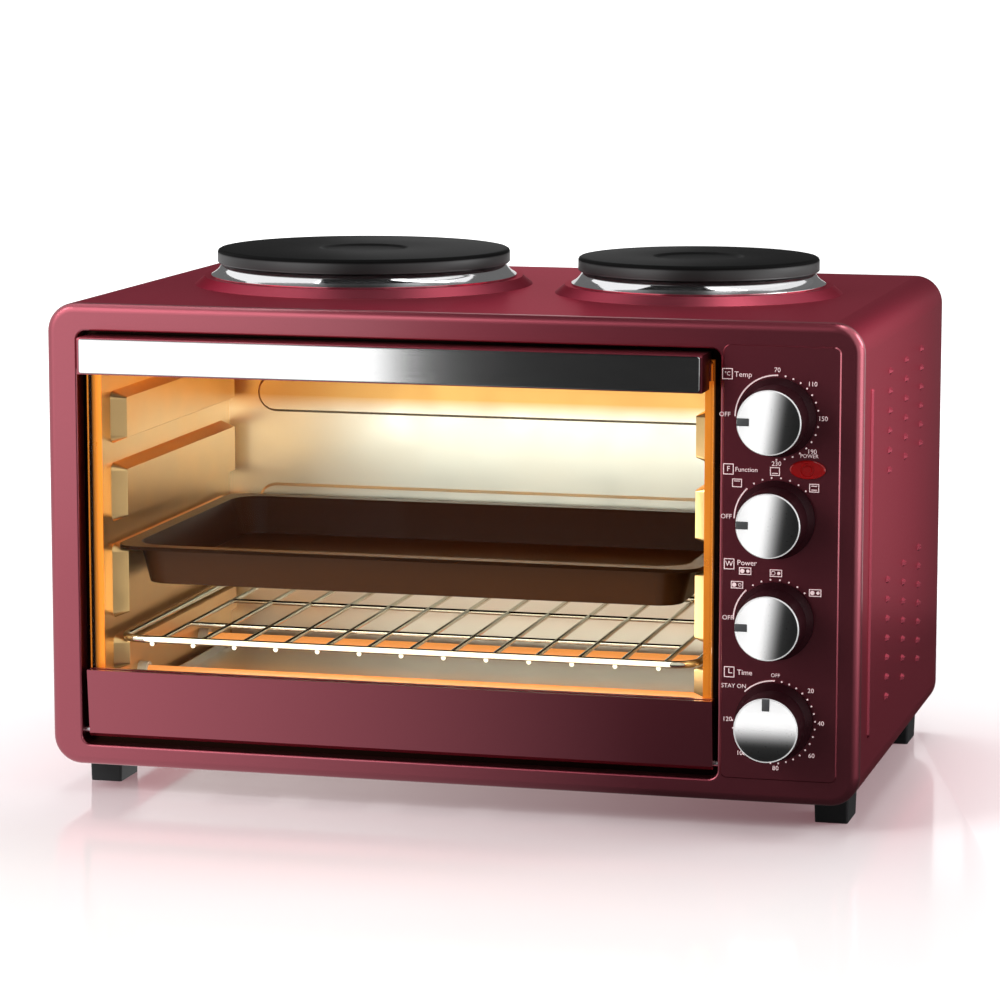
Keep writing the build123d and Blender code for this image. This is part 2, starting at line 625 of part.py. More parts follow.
def door_strip():
    """Lower rail: hollow moulding, open at the back, that seats the glass and takes the pins."""
    low, high = STRIP_Z
    w = STRIP_WALL
    slope = STRIP_TILT / (high - low)
    front = lambda z: slope * (high - z)
    heel = [(STRIP_BACK - STRIP_HEEL, low), (STRIP_BACK, low + STRIP_HEEL)]
    body = side_profile([(front(high), high), (front(low + 2), low + 2), (front(low) + 1.5, low), *heel,
                         (STRIP_BACK, high)], DOOR_SPAN)
    inside = (DOOR_SPAN[0] + w, DOOR_SPAN[1] - w)
    seat = (GLASS_Y - GLASS_SEAT, GLASS_Y + GLASS_T + GLASS_SEAT)
    web = GLASS_Z[0] - w
    body -= side_profile([(front(web) + w, web), (front(low + w) + w, low + w), (STRIP_BACK + 1, low + w),
                          (STRIP_BACK + 1, web)], inside)
    body -= block(inside, (seat[0], STRIP_BACK + 1), (GLASS_Z[0], high - w))
    body -= block(glass_span(GLASS_SEAT), seat, (GLASS_Z[0], high + 1))
    for x in arm_spans():
        body -= block((x[0] - 0.5, x[1] + 0.5), (HINGE_Y - 0.6, STRIP_BACK + 1), (low + w, high - w))
    head = (inside[0] - 0.01, inside[0] + PIN_HEAD_T)
    pocket = along_x(Circle(PIN_HEAD_R + RUN_FIT), HINGE_Y, HINGE_Z, head)
    body -= along_x(Circle(PIN_R), HINGE_Y, HINGE_Z, (DOOR_SPAN[0] - 1, DOOR_SPAN[1] + 1))
    return body - pocket - mirrored(pocket, DOOR_X)


def glass_span(grow=0.0):
    return DOOR_SPAN[0] + GLASS_SIDE - grow, DOOR_SPAN[1] - GLASS_SIDE + grow


def door_glass():
    pane = panel(glass_span(), GLASS_Z, (GLASS_Y, GLASS_Y + GLASS_T), 3)
    return chamfer(pane.edges().filter_by(GeomType.LINE).filter_by(Axis.Z), 0.5)


def rail_span():
    return DOOR_SPAN[0] + RAIL_SIDE, DOOR_SPAN[1] - RAIL_SIDE


def door_rail():
    """Upper rail: a hood open below as the finger grip, with a groove for the glass behind."""
    low, high = RAIL_Z
    w, top = RAIL_WALL, GLASS_Z[1]
    span = rail_span()
    past = (span[0] - 1, span[1] + 1)
    body = side_profile([(RAIL_FRONT, low), (RAIL_BACK, low), (RAIL_BACK, high), (RAIL_FRONT, high)], span)
    body = fillet(body.edges().filter_by(Axis.X).group_by(Axis.Z)[-1], 1.2)
    body -= block((span[0] + w, span[1] - w), (RAIL_FRONT + w, 0), (low - 1, high - w))
    body -= block(past, (GLASS_Y - GLASS_SEAT, GLASS_Y + GLASS_T + GLASS_SEAT), (low - 1, top + GLASS_SEAT))
    return body - block(past, (GLASS_Y + GLASS_T, RAIL_BACK + 1), (low - 1, top - RAIL_GRIP))


def handle_strip():
    """Bright face strip on the rail, edges rolled over."""
    span, m = rail_span(), BAR_MARGIN
    bar = panel((span[0] + m, span[1] - m), (RAIL_Z[0] + BAR_Z_MARGIN, RAIL_Z[1] - BAR_Z_MARGIN),
                (RAIL_FRONT - BAR_T, RAIL_FRONT), 1.6)
    return fillet(bar.faces().sort_by(Axis.Y)[0].edges(), 0.6)


def arm_spans():
    """The x range of each stay arm, against the inner faces of the strip's end walls."""
    low, high = DOOR_SPAN[0] + STRIP_WALL, DOOR_SPAN[1] - STRIP_WALL
    return (low, low + ARM_T), (high - ARM_T, high)


def stay_arm(left):
    """Quadrant about the hinge line with a root plate in the strip and a stop tab at its end."""
    x = arm_spans()[0]
    band = Circle(ARM_R[1]) - Circle(ARM_R[0])
    end = math.radians(90 - ARM_SWEEP)
    far = 3 * ARM_R[1]
    wedge = Polygon((0, 0), (0, far), (far, far), (far * math.cos(end), far * math.sin(end)), align=None)
    arm = along_x(band & wedge, HINGE_Y, HINGE_Z, x)
    arm += block(x, (HINGE_Y, STRIP_BACK - 0.3), (HINGE_Z + 6, HINGE_Z + ARM_R[1] - 1))
    tip = Polygon((0, 0), (far * math.cos(end + 0.07), far * math.sin(end + 0.07)),
                  (far * math.cos(end), far * math.sin(end)), align=None)
    arm += along_x(band & tip, HINGE_Y, HINGE_Z, (x[0] - ARM_TAB, x[1]))
    return arm if left else mirrored(arm, DOOR_X)


def hinge_pins():
    """Shouldered pins, flush inside the strip, that run in the bezel's collar."""
    x = DOOR_SPAN[0]
    pin = along_x(Circle(PIN_R), HINGE_Y, HINGE_Z, (RECESS_X[0] - WALL_T - 0.5, x + STRIP_WALL))
    pin += along_x(Circle(PIN_HEAD_R), HINGE_Y, HINGE_Z, (x + STRIP_WALL, x + STRIP_WALL + PIN_HEAD_T))
    return grouped([pin, mirrored(pin, DOOR_X)])


# Controls

def knob_body(z, pointer):
    """Dark skirted grip, bored for the spindle, with the raised pointer key that shows in the cap."""
    back, front = -FASCIA_RISE - 0.5, CAP_T - KNOB_REACH
    grip = turned_y([(0, back), (SKIRT_R, back), (SKIRT_R, back - 1.5), (KNOB_R + 0.8, back - 6.5),
                     (KNOB_R, front), (0, front)], 0, 0)
    grip += key(POINTER_W - 0.2, -KNOB_REACH + 0.4, front)
    bore = along_y(Circle(SPINDLE_R + RUN_FIT), 0, 0, (SPINDLE_FRONT - RUN_FIT, back + 1))
    flat = block((-5, 5), (SPINDLE_FRONT - 1, FLAT_Y), (SPINDLE_R - 1.2 + RUN_FIT, 5))
    grip -= bore - flat
    return Pos(KNOB_X, 0, z) * Rot(0, pointer, 0) * grip


def key(width, y0, y1):
    """Pointer at 12 o'clock on the rim of the cap."""
    return block((-width / 2, width / 2), (y0, y1), (CAP_R - POINTER_L, CAP_R)) & along_y(
        Circle(CAP_R - 0.1), 0, 0, (y0, y1))


def knob_cap(z, pointer):
    """Bright face disc, notched for the pointer."""
    disc = along_y(Circle(CAP_R), 0, 0, (-KNOB_REACH, CAP_T - KNOB_REACH))
    disc = chamfer(disc.faces().sort_by(Axis.Y)[0].edges(), 0.5)
    disc -= block((-POINTER_W / 2, POINTER_W / 2), (-KNOB_REACH - 1, 1), (CAP_R - POINTER_L, CAP_R + 2))
    return Pos(KNOB_X, 0, z) * Rot(0, pointer, 0) * disc


def spindle(z, pointer):
    """Control shaft with a flat for the knob."""
    rod = along_y(Circle(SPINDLE_R), 0, 0, (SPINDLE_FRONT, SPINDLE_BACK))
    rod -= block((-5, 5), (SPINDLE_FRONT - 1, FLAT_Y), (SPINDLE_R - 1.2, 5))
    return Pos(KNOB_X, 0, z) * Rot(0, pointer, 0) * rod


def bushing(z, back):
    """Mounting bush through the fascia, bored for the spindle, with the bore's blind end behind it."""
    bush = along_y(Circle(BUSH_R), KNOB_X, z, (-FASCIA_RISE, back))
    return bush, along_y(Circle(SPINDLE_R + RUN_FIT), KNOB_X, z, (-5, SPINDLE_BACK + 0.3))


def thermostat():
    """Capillary thermostat: mounting plate, switch block and the diaphragm dome behind it."""
    z = KNOB_Z[3]
    bush, bore = bushing(z, 6)
    body = bush + block((KNOB_X - 21, KNOB_X + 21), (PANEL_BACK, PANEL_BACK + 1.5), (z - 14, z + 14))
    body += block((KNOB_X - 17, KNOB_X + 17), (PANEL_BACK + 1.5, 26), (z - 13, z + 13))
    body += turned_y([(0, 26), (11, 26), (11, 29), (7, THERMOSTAT_BACK), (0, THERMOSTAT_BACK)], KNOB_X, z)
    body += block((KNOB_X - 3, KNOB_X + 3), (26, THERMOSTAT_BACK), (z, BULB_Z + 3))
    for side in (-1, 1):
        body += block((KNOB_X + side * 12 - 3, KNOB_X + side * 12 + 3), (26, 36), (z - 10, z - 9.2))
    return body - bore


def rotary_switch(z):
    """Round cam switch with a ring of flat terminals."""
    bush, bore = bushing(z, 6)
    drum = [(0, PANEL_BACK), (19, PANEL_BACK), (19, 12), (17, 14), (17, 26), (0, 26)]
    body = bush + turned_y(drum, KNOB_X, z)
    for i in range(6):
        tab = block((-3, 3), (26, 35), (12, 12.8))
        body += Pos(KNOB_X, 0, z) * Rot(0, 60 * i, 0) * tab
    return body - bore


def timer():
    """Clockwork between two plates on four pillars, with its bell behind."""
    z = KNOB_Z[0]
    bush, bore = bushing(z, 6)
    body = bush + block((KNOB_X - 24, KNOB_X + 24), (PANEL_BACK, PANEL_BACK + 1.5), (z - 21, z + 21))
    body += block((KNOB_X - 24, KNOB_X + 24), (24, 25.5), (z - 21, z + 21))
    body += along_y(Circle(15), KNOB_X, z, (PANEL_BACK + 1.5, 24))
    for sx in (-21, 21):
        for sz in (-18, 18):
            body += along_y(Circle(2), KNOB_X + sx, z + sz, (PANEL_BACK + 1.5, 24))
    body += along_y(Circle(3), KNOB_X, z, (25.5, 34))
    bell = [(0, 34), (4, 34), (16, 33), (19, 27.5), (20, 27.5), (17, 34), (4, 35.4), (0, 35.4)]
    body += turned_y(bell, KNOB_X, z)
    return body - bore


def lamp_oval(inset):
    return Ellipse(LAMP_W / 2 - inset, LAMP_H / 2 - inset)


def indicator_lens():
    """Oval lens with a round dish and button in its face, and a stepped back that snaps into the fascia."""
    face = -FASCIA_RISE - 1.8
    lens = along_y(lamp_oval(0), LAMP_X, LAMP_Z, (face, -FASCIA_RISE))
    lens = fillet(lens.faces().sort_by(Axis.Y)[0].edges(), 1.0)
    lens -= along_y(Circle(LAMP_DISH_R - 0.5), LAMP_X, LAMP_Z, (face - 0.6, face + 0.6), taper=-35)
    lens += along_y(Circle(LAMP_DISH_R - 1.6), LAMP_X, LAMP_Z, (face + 0.1, face + 0.7), taper=30)
    lens += along_y(lamp_oval(0.9), LAMP_X, LAMP_Z, (-FASCIA_RISE, FACE_T + 3))
    return lens + along_y(Circle(4.2), LAMP_X, LAMP_Z, (FACE_T + 3, FACE_T + 22))


def heat_shield():
    """Upright sheet between the cavity and the controls, folded out on the base pan."""
    y = (CAVITY_Y + 4, REAR_Y - 9)
    low, high = 2 * SHEET, CAVITY_Z[1] + SHIELD_TOP
    body = block((SHIELD_X, SHIELD_X + SHEET), y, (low, high))
    body += block((SHIELD_X, SHIELD_X + 12), y, (low, low + SHEET))
    body -= along_x(Circle(5), BULB_TURN_Y, BULB_Z, (SHIELD_X - 1, SHIELD_X + 2))
    for sy in (60, 110, 160, 210):
        for sz in (60, 75, 90):
            body -= along_x(SlotOverall(30, 4), sy, sz, (SHIELD_X - 1, SHIELD_X + 2))
    return body


def terminal_block():
    """Screw terminal strip on the base pan in front of the cord bush."""
    low = 2 * SHEET
    x, y = (GLAND_X - 18, GLAND_X + 26), REAR_Y - 52
    body = block(x, (y - 8, y + 8), (low, low + 9)) + block(x, (y - 4, y + 4), (low + 9, low + 18))
    for i in range(3):
        screw = x[0] + 7 + 15 * i
        body -= Pos(screw, y, low + 18) * Cylinder(2.6, 16)
        body -= along_y(Circle(2), screw, low + 5, (y - 9, y + 9))
    return body


def pieces():
    """Every piece by its name. The pointers stand at 9 o'clock, the timer's at 12."""
    made = {
        "front_panel": front_panel(), "outer_casing": outer_casing(), "rear_panel": rear_panel(),
        "base_pan": base_pan(), "cord_gland": cord_gland(),
        "foot_front_left": foot(-1, FOOT_Y[0]), "foot_front_right": foot(1, FOOT_Y[0]),
        "foot_rear_left": foot(-1, FOOT_Y[1]), "foot_rear_right": foot(1, FOOT_Y[1]),
        "front_frame": front_frame(), "cavity_left": cavity_left(), "cavity_right": cavity_right(),
        "cavity_back": cavity_back(), "cavity_top": cavity_lid(False), "cavity_floor": cavity_lid(True),
        "upper_heaters": heaters(TOP_HEATER_Z), "lower_heaters": heaters(LOW_HEATER_Z),
        "heater_collars": heater_collars(), "thermostat_bulb": thermostat_bulb(),
        "wire_rack": wire_rack(), "baking_tray": baking_tray(), "crumb_tray": crumb_tray(),
        "large_plate": hot_plate(*plates()[0]), "small_plate": hot_plate(*plates()[1]),
        "large_trim_ring": trim_ring(*plates()[0]), "small_trim_ring": trim_ring(*plates()[1]),
        "plate_straps": plate_straps(),
        "door_strip": door_strip(), "door_glass": door_glass(), "door_rail": door_rail(),
        "handle_strip": handle_strip(), "hinge_pins": hinge_pins(),
        "stay_arm_left": stay_arm(True), "stay_arm_right": stay_arm(False),
        "thermostat": thermostat(), "function_switch": rotary_switch(KNOB_Z[2]),
        "plate_switch": rotary_switch(KNOB_Z[1]), "timer": timer(), "indicator_lens": indicator_lens(),
        "heat_shield": heat_shield(), "terminal_block": terminal_block(),
    }
    for name, z, pointer in (("temperature", KNOB_Z[3], -90), ("function", KNOB_Z[2], -90),
                             ("plate", KNOB_Z[1], -90), ("timer", KNOB_Z[0], 0)):
        made[name + "_knob"] = knob_body(z, pointer)
        made[name + "_cap"] = knob_cap(z, pointer)
        made[name + "_spindle"] = spindle(z, pointer)
    return made


os.makedirs("parts", exist_ok=True)
for name, shape in pieces().items():
    export_step(PLACE * shape, f"parts/{name}.step")
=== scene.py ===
"""Looks and studio for a table-top electric oven with two hot plates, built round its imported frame."""
import math

import bmesh
import bpy
from bpy.props import FloatProperty, FloatVectorProperty, IntProperty, PointerProperty
from bpy.types import Operator, Panel, PropertyGroup
from mathutils import Matrix, Vector


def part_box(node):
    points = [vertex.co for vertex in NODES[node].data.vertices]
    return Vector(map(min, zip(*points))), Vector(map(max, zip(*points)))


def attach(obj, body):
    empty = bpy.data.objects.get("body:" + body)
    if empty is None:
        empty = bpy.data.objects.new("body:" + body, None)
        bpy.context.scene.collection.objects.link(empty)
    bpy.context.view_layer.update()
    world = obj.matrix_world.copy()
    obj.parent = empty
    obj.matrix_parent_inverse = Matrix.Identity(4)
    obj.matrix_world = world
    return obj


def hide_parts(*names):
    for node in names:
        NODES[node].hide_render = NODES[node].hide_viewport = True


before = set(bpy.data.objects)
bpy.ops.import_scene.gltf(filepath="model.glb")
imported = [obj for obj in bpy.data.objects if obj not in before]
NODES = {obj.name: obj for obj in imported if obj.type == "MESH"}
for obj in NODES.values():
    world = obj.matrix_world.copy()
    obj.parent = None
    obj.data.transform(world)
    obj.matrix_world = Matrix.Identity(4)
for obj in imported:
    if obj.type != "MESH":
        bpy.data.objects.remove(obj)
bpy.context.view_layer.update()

bl_info = {
    "name": "Table Oven Parts",
    "version": (1, 0, 0),
    "blender": (4, 5, 0),
    "location": "View3D > Sidebar > Oven",
    "description": "Dresses the packed table oven and sets its studio",
    "category": "Object",
}

MM = 0.001
DIALS = ("temperature", "function", "plate", "timer")
FASCIA_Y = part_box("temperature_knob")[1].y - 0.5 * MM
CASE_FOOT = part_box("outer_casing")[0].z
PRINT_LIFT = 0.02 * MM
CAPITAL_SHARE = 0.70    # height of the font's capitals, of its size
SIGHT_FALL = 0.155      # fall of the camera's line of sight, of its run in depth
WHITE, BLACK = (1, 1, 1, 1), (0, 0, 0, 1)


# Sizes and colours

def colour(label, value, note):
    return FloatVectorProperty(name=label, description=note, default=value, size=3, min=0, max=1, subtype="COLOR")


def length(label, value, note):
    return FloatProperty(name=label, description=note, default=value, min=0, unit="LENGTH", precision=5)


class OvenColours(PropertyGroup):
    """Base colours, linear."""
    lacquer: colour("Lacquer", (0.335, 0.061, 0.087), "Metallic dark red of the bezel and the door rails")
    case: colour("Case paint", (0.35, 0.062, 0.089), "Metallic dark red of the wrapped casing")
    knob: colour("Knob", (0.020, 0.004, 0.006), "Very dark red of the knob skirts")
    print_ink: colour("Dial print", (0.92, 0.70, 0.71), "Pinkish white of the dial marks")
    steel: colour("Cavity steel", (0.78, 0.72, 0.61), "Pressed liner of the cavity")
    iron: colour("Hot plate", (0.005, 0.005, 0.005), "Satin coated casting")
    lens: colour("Lamp lens", (0.30, 0.005, 0.006), "Red of the indicator lens")
    glow: colour("Heater glow", (1.0, 0.36, 0.08), "Light of the hot tubes")


class OvenSizes(PropertyGroup):
    """Sizes of the pieces made here."""
    turn_steps: IntProperty(name="Turn steps", description="Facets round a turned piece", default=144, min=24)
    mark_radius: length("Dial radius", 23.8 * MM, "Radius of the printed arcs and dots")
    mark_width: length("Arc width", 0.75 * MM, "Width of the printed arcs")
    dot: length("Dot", 0.52 * MM, "Radius of a printed dot")
    digits: length("Digits", 2.6 * MM, "Height of the numbers")
    capitals: length("Capitals", 2.6 * MM, "Height of OFF beside the dials")
    ink: length("Ink", 0.05 * MM, "Thickness of the print")


def sizes():
    return bpy.context.scene.oven_sizes


def colours():
    return bpy.context.scene.oven_colours


# Shader nodes

def feed(tree, socket, source):
    """Links a socket to another one, or sets its value."""
    if isinstance(source, bpy.types.NodeSocket):
        tree.links.new(source, socket)
    else:
        socket.default_value = source


def add(tree, kind, *sources, operation=None, **named):
    """New shader node, its inputs fed in order or by name."""
    made = tree.nodes.new("ShaderNode" + kind)
    if operation:
        made.operation = operation
    for socket, source in zip(made.inputs, sources):
        feed(tree, socket, source)
    for name, source in named.items():
        feed(tree, made.inputs[name], source)
    return made


def calc(tree, operation, first, second):
    return add(tree, "Math", first, second, operation=operation).outputs[0]


def ranged(tree, value, low, high, to_low=0.0, to_high=1.0):
    """Straight-line map of a value between two limits, held at its ends."""
    return add(tree, "MapRange", value, low, high, to_low, to_high).outputs["Result"]


def mixed(tree, factor, low, high):
    """Colour that runs from low to high with a factor."""
    mix = tree.nodes.new("ShaderNodeMix")
    mix.data_type = "RGBA"
    for index, source in ((0, factor), (6, low), (7, high)):
        feed(tree, mix.inputs[index], source)
    return mix.outputs[2]


def object_place(tree):
    return add(tree, "TexCoord").outputs["Object"]


def along(tree, place, direction):
    """Distance of a place along a direction."""
    return add(tree, "VectorMath", place, direction, operation="DOT_PRODUCT").outputs["Value"]


def shader(mat):
    return mat.node_tree.nodes["Principled BSDF"]


def surface(mat, source):
    """Makes a shader socket the surface of a material."""
    feed(mat.node_tree, mat.node_tree.nodes["Material Output"].inputs["Surface"], source)


# Materials

def finish(name, base, rough, *, grain=600.0, stretch=(1, 1, 1), mottle=0.08, rough_spread=0.06, relief=0.05,
           height=0.00005, sockets=None):
    """Principled finish whose colour, roughness and fine relief follow one noise on Object coordinates."""
    mat = bpy.data.materials.new(name)
    mat.use_nodes = True
    tree, inputs = mat.node_tree, shader(mat).inputs
    scaled = add(tree, "Mapping", object_place(tree), Scale=stretch).outputs["Vector"]
    noise = add(tree, "TexNoise", Vector=scaled, Scale=grain, Detail=4.0).outputs["Fac"]
    low = [c * (1 - mottle) for c in base]
    high = [min(1.0, c * (1 + mottle)) for c in base]
    feed(tree, inputs["Base Color"], mixed(tree, noise, (*low, 1), (*high, 1)))
    feed(tree, inputs["Roughness"],
         ranged(tree, noise, 0.0, 1.0, max(0.0, rough - rough_spread), min(1.0, rough + rough_spread)))
    bump = add(tree, "Bump", Strength=relief, Distance=height, Height=noise)
    feed(tree, inputs["Normal"], bump.outputs["Normal"])
    for socket, value in (sockets or {}).items():
        inputs[socket].default_value = value
    return mat


def metal(name, base, rough, **more):
    more["sockets"] = {"Metallic": 1.0, **more.get("sockets", {})}
    return finish(name, base, rough, **more)


def by_height(mat, socket, low, low_value, high, high_value):
    """Drives one socket of a finish from one colour to another between two heights."""
    tree = mat.node_tree
    height = add(tree, "SeparateXYZ", object_place(tree)).outputs["Z"]
    feed(tree, shader(mat).inputs[socket], mixed(tree, ranged(tree, height, low, high), low_value, high_value))


def inside_window(mat, socket, low, high, inner, outer, fade_width=3 * MM):
    """Gives one socket of a finish one colour behind a window and another round it."""
    tree = mat.node_tree
    place = object_place(tree)
    past_low = add(tree, "VectorMath", place, low, operation="SUBTRACT").outputs["Vector"]
    past_high = add(tree, "VectorMath", high, place, operation="SUBTRACT").outputs["Vector"]
    nearest = add(tree, "VectorMath", past_low, past_high, operation="MINIMUM").outputs["Vector"]
    split = add(tree, "SeparateXYZ", nearest).outputs
    depth = calc(tree, "MINIMUM", split["X"], split["Z"])
    feed(tree, shader(mat).inputs[socket], mixed(tree, ranged(tree, depth, 0.0, fade_width), outer, inner))


def dress(mat, *objects):
    """One material on each object or CAD node named."""
    for item in objects:
        obj = NODES[item] if isinstance(item, str) else item
        obj.data.materials.clear()
        obj.data.materials.append(mat)


# Modelling

def finished(name, bm, mat, body, *, stands_for=(), smooth=35.0):
    """Closes a bmesh into a named piece that rides on a body."""
    bmesh.ops.remove_doubles(bm, verts=bm.verts, dist=1e-6)
    bmesh.ops.recalc_face_normals(bm, faces=bm.faces)
    mesh = bpy.data.meshes.new(name)
    bm.to_mesh(mesh)
    bm.free()
    obj = bpy.data.objects.new(name, mesh)
    bpy.context.scene.collection.objects.link(obj)
    mesh.shade_smooth()
    mesh.set_sharp_from_angle(angle=math.radians(smooth))
    dress(mat, obj)
    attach(obj, body)
    if stands_for:
        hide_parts(*stands_for)


def turned(profile, centre, axis):
    """Bmesh of a closed (radius, height) outline spun about an axis through centre."""
    bm = bmesh.new()
    across = Vector((1, 0, 0))
    verts = [bm.verts.new(Vector(centre) + across * r + Vector(axis) * h) for r, h in profile]
    loop = list(zip(verts, verts[1:])) + ([(verts[-1], verts[0])] if profile[0][0] or profile[-1][0] else [])
    edges = [bm.edges.new(pair) for pair in loop]
    bmesh.ops.spin(bm, geom=verts + edges, cent=centre, axis=axis, angle=2 * math.pi, steps=sizes().turn_steps,
                   use_merge=True)
    return bm


def rounded_block(bm, low, high, radius):
    """Adds a box with rounded edges to a bmesh."""
    low, high = Vector(low), Vector(high)
    made = bmesh.ops.create_cube(bm, size=1.0, matrix=Matrix.Translation((low + high) / 2)
                                 @ Matrix.Diagonal((*(high - low), 1)))
    edges = {e for v in made["verts"] for e in v.link_edges}
    bmesh.ops.bevel(bm, geom=list(edges), offset=radius, segments=3, affect="EDGES", profile=0.5, material=-1)


def dial_centre(dial):
    low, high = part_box(dial + "_cap")
    return Vector(((low.x + high.x) / 2, FASCIA_Y, (low.z + high.z) / 2))


# Pieces

EDGE_TINT = (0.80, 0.44, 0.47, 1)        # lacquer seen at a grazing angle, on fronts and sides
TOP_SHADED_EDGE_TINT = (0.66, 0.20, 0.25, 1)    # painted shade: a darker, redder sheen on the casing's top than on its sides
TOP_SHADE_BLEND = (14 * MM, 2 * MM)            # band below the casing's highest point where that painted shade blends in


class OVEN_OT_casing(Operator):
    """Paint, lacquer and zinc on the outer shell, and painted glow and shade on the frame round the door"""
    bl_idname = "oven.casing"
    bl_label = "Casing"

    def execute(self, context):
        paint = metal("case_paint", colours().case, 0.38, grain=900, mottle=0.05, relief=0.08, height=0.00006)
        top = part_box("outer_casing")[1].z
        # Painted shade: the casing's top gets a darker, redder sheen than its sides, by height
        by_height(paint, "Specular Tint", top - TOP_SHADE_BLEND[0], EDGE_TINT, top - TOP_SHADE_BLEND[1], TOP_SHADED_EDGE_TINT)
        lacquer = metal("bezel_lacquer", colours().lacquer, 0.34, grain=2600, mottle=0.10, relief=0.03,
                        sockets={"Specular Tint": EDGE_TINT, "Coat Weight": 0.9, "Coat Roughness": 0.16})
        zinc = metal("zinc_sheet", (0.60, 0.59, 0.56), 0.48, grain=90, mottle=0.16, rough_spread=0.10)
        # Frame round the door: painted orange glow of the heaters where it shows behind the glass, and painted shade,
        # near black, in the gap round the door
        frame_glow_and_shade = metal("frame_sheet_painted_glow_and_shade", (0.50, 0.20, 0.05), 0.30, grain=70, mottle=0.2, rough_spread=0.08,
                       sockets={"Emission Strength": 0.45})
        inside_window(frame_glow_and_shade, "Base Color", *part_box("door_glass"), (0.85, 0.30, 0.04, 1), (0.012, 0.006, 0.004, 1))
        inside_window(frame_glow_and_shade, "Emission Color", *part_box("door_glass"), (1.0, 0.24, 0.02, 1), BLACK)
        black = finish("foot_plastic", (0.012, 0.012, 0.013), 0.5, grain=1500, mottle=0.2, relief=0.12,
                       sockets={"Specular IOR Level": 0.25})
        dress(paint, "outer_casing")
        dress(lacquer, "front_panel")
        dress(zinc, "rear_panel", "base_pan", "heat_shield")
        dress(frame_glow_and_shade, "front_frame")
        dress(black, "cord_gland", "foot_front_left", "foot_front_right", "foot_rear_left", "foot_rear_right")
        return {"FINISHED"}


LINER = {"grain": 35, "mottle": 0.12, "rough_spread": 0.10, "relief": 0.02, "height": 0.0002}
REAR_STEEL = (0.82, 0.81, 0.73)
REAR_PAINTED_GLOW = (0.62, 0.36, 0.12)      # painted orange glow of the upper heaters, above the line of sight under the handle
REAR_GLOW_BLEND = (12 * MM, 1 * MM)      # below that line, where the painted glow blends in


class OVEN_OT_cavity(Operator):
    """Steel liner with painted heater glow on its side walls and rear wall, glowing tubes, collars and sensing bulb
    """
    bl_idname = "oven.cavity"
    bl_label = "Cavity"

    def execute(self, context):
        liner = metal("cavity_liner", colours().steel, 0.34, **LINER)
        # Side walls: the liner's steel tinted orange, a painted glow of the heaters' light on them
        glow_painted_sides = metal("cavity_sides_painted_glow", (0.80, 0.50, 0.22), 0.34, **{**LINER, "mottle": 0.16})
        rear = metal("cavity_rear", REAR_STEEL, 0.34, **LINER)
        strip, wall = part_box("handle_strip")[0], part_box("cavity_back")[0]
        sight = strip.z - SIGHT_FALL * (wall.y - strip.y)
        # Painted glow: the rear wall turns orange above the line of sight under the handle
        by_height(rear, "Base Color", sight - REAR_GLOW_BLEND[0], (*REAR_STEEL, 1), sight - REAR_GLOW_BLEND[1], (*REAR_PAINTED_GLOW, 1))
        dress(rear, "cavity_back")
        dress(liner, "cavity_top", "cavity_floor")
        dress(glow_painted_sides, "cavity_left", "cavity_right")
        for node, strength in (("upper_heaters", 1.6), ("lower_heaters", 0.8)):
            tube = finish("hot_tube_" + node[:5], (0.45, 0.12, 0.04), 0.5, grain=220, mottle=0.3,
                          sockets={"Emission Color": (*colours().glow, 1), "Emission Strength": strength})
            dress(tube, node)
        dress(finish("ceramic", (0.72, 0.66, 0.55), 0.6, grain=400, mottle=0.08), "heater_collars")
        dress(metal("copper", (0.72, 0.38, 0.22), 0.35, grain=160, mottle=0.15), "thermostat_bulb")
        return {"FINISHED"}


class OVEN_OT_racks(Operator):
    """Plated wire rack, enamelled baking tray and plain crumb tray"""
    bl_idname = "oven.racks"
    bl_label = "Racks and trays"

    def execute(self, context):
        dress(metal("rack_plating", (0.72, 0.64, 0.50), 0.16, grain=300, mottle=0.06), "wire_rack")
        dress(finish("tray_enamel", (0.020, 0.006, 0.0015), 0.3, grain=500, mottle=0.2, relief=0.0,
                     sockets={"Specular IOR Level": 0.04}), "baking_tray")
        dress(metal("crumb_sheet", (0.74, 0.71, 0.66), 0.36, grain=60, mottle=0.1), "crumb_tray")
        return {"FINISHED"}


# Outlines in mm. Of the plate: off its centre or inside its rim, and below its top; of the ring: inside the
# plate's rim, and below the ring's top
PLATE_RECESS = ((0, 1.2), (23.5, 1.2), (25, 0.9), (26.5, 0.15), (28, 0))
PLATE_EDGE = ((3.0, 0), (1.6, 0.25), (0.5, 0.9), (0, 2.0))
RING_FLARE = ((4.6, 0), (3.4, 0.3), (2.2, 1.2), (0.9, 3.2), (-1.0, 5.2))
PLATE_LIP = 11 * MM            # width of the plate's lip over the ring
PLATE_HUB = 14 * MM            # reach of its hub below the ring's top
RING_WIDTH = 9 * MM            # reach of the ring under the plate's lip
RING_SHEET = 0.8 * MM
TOP_MATT = (3 * MM, 2 * MM)    # below the plate's top, where its sheen fades out


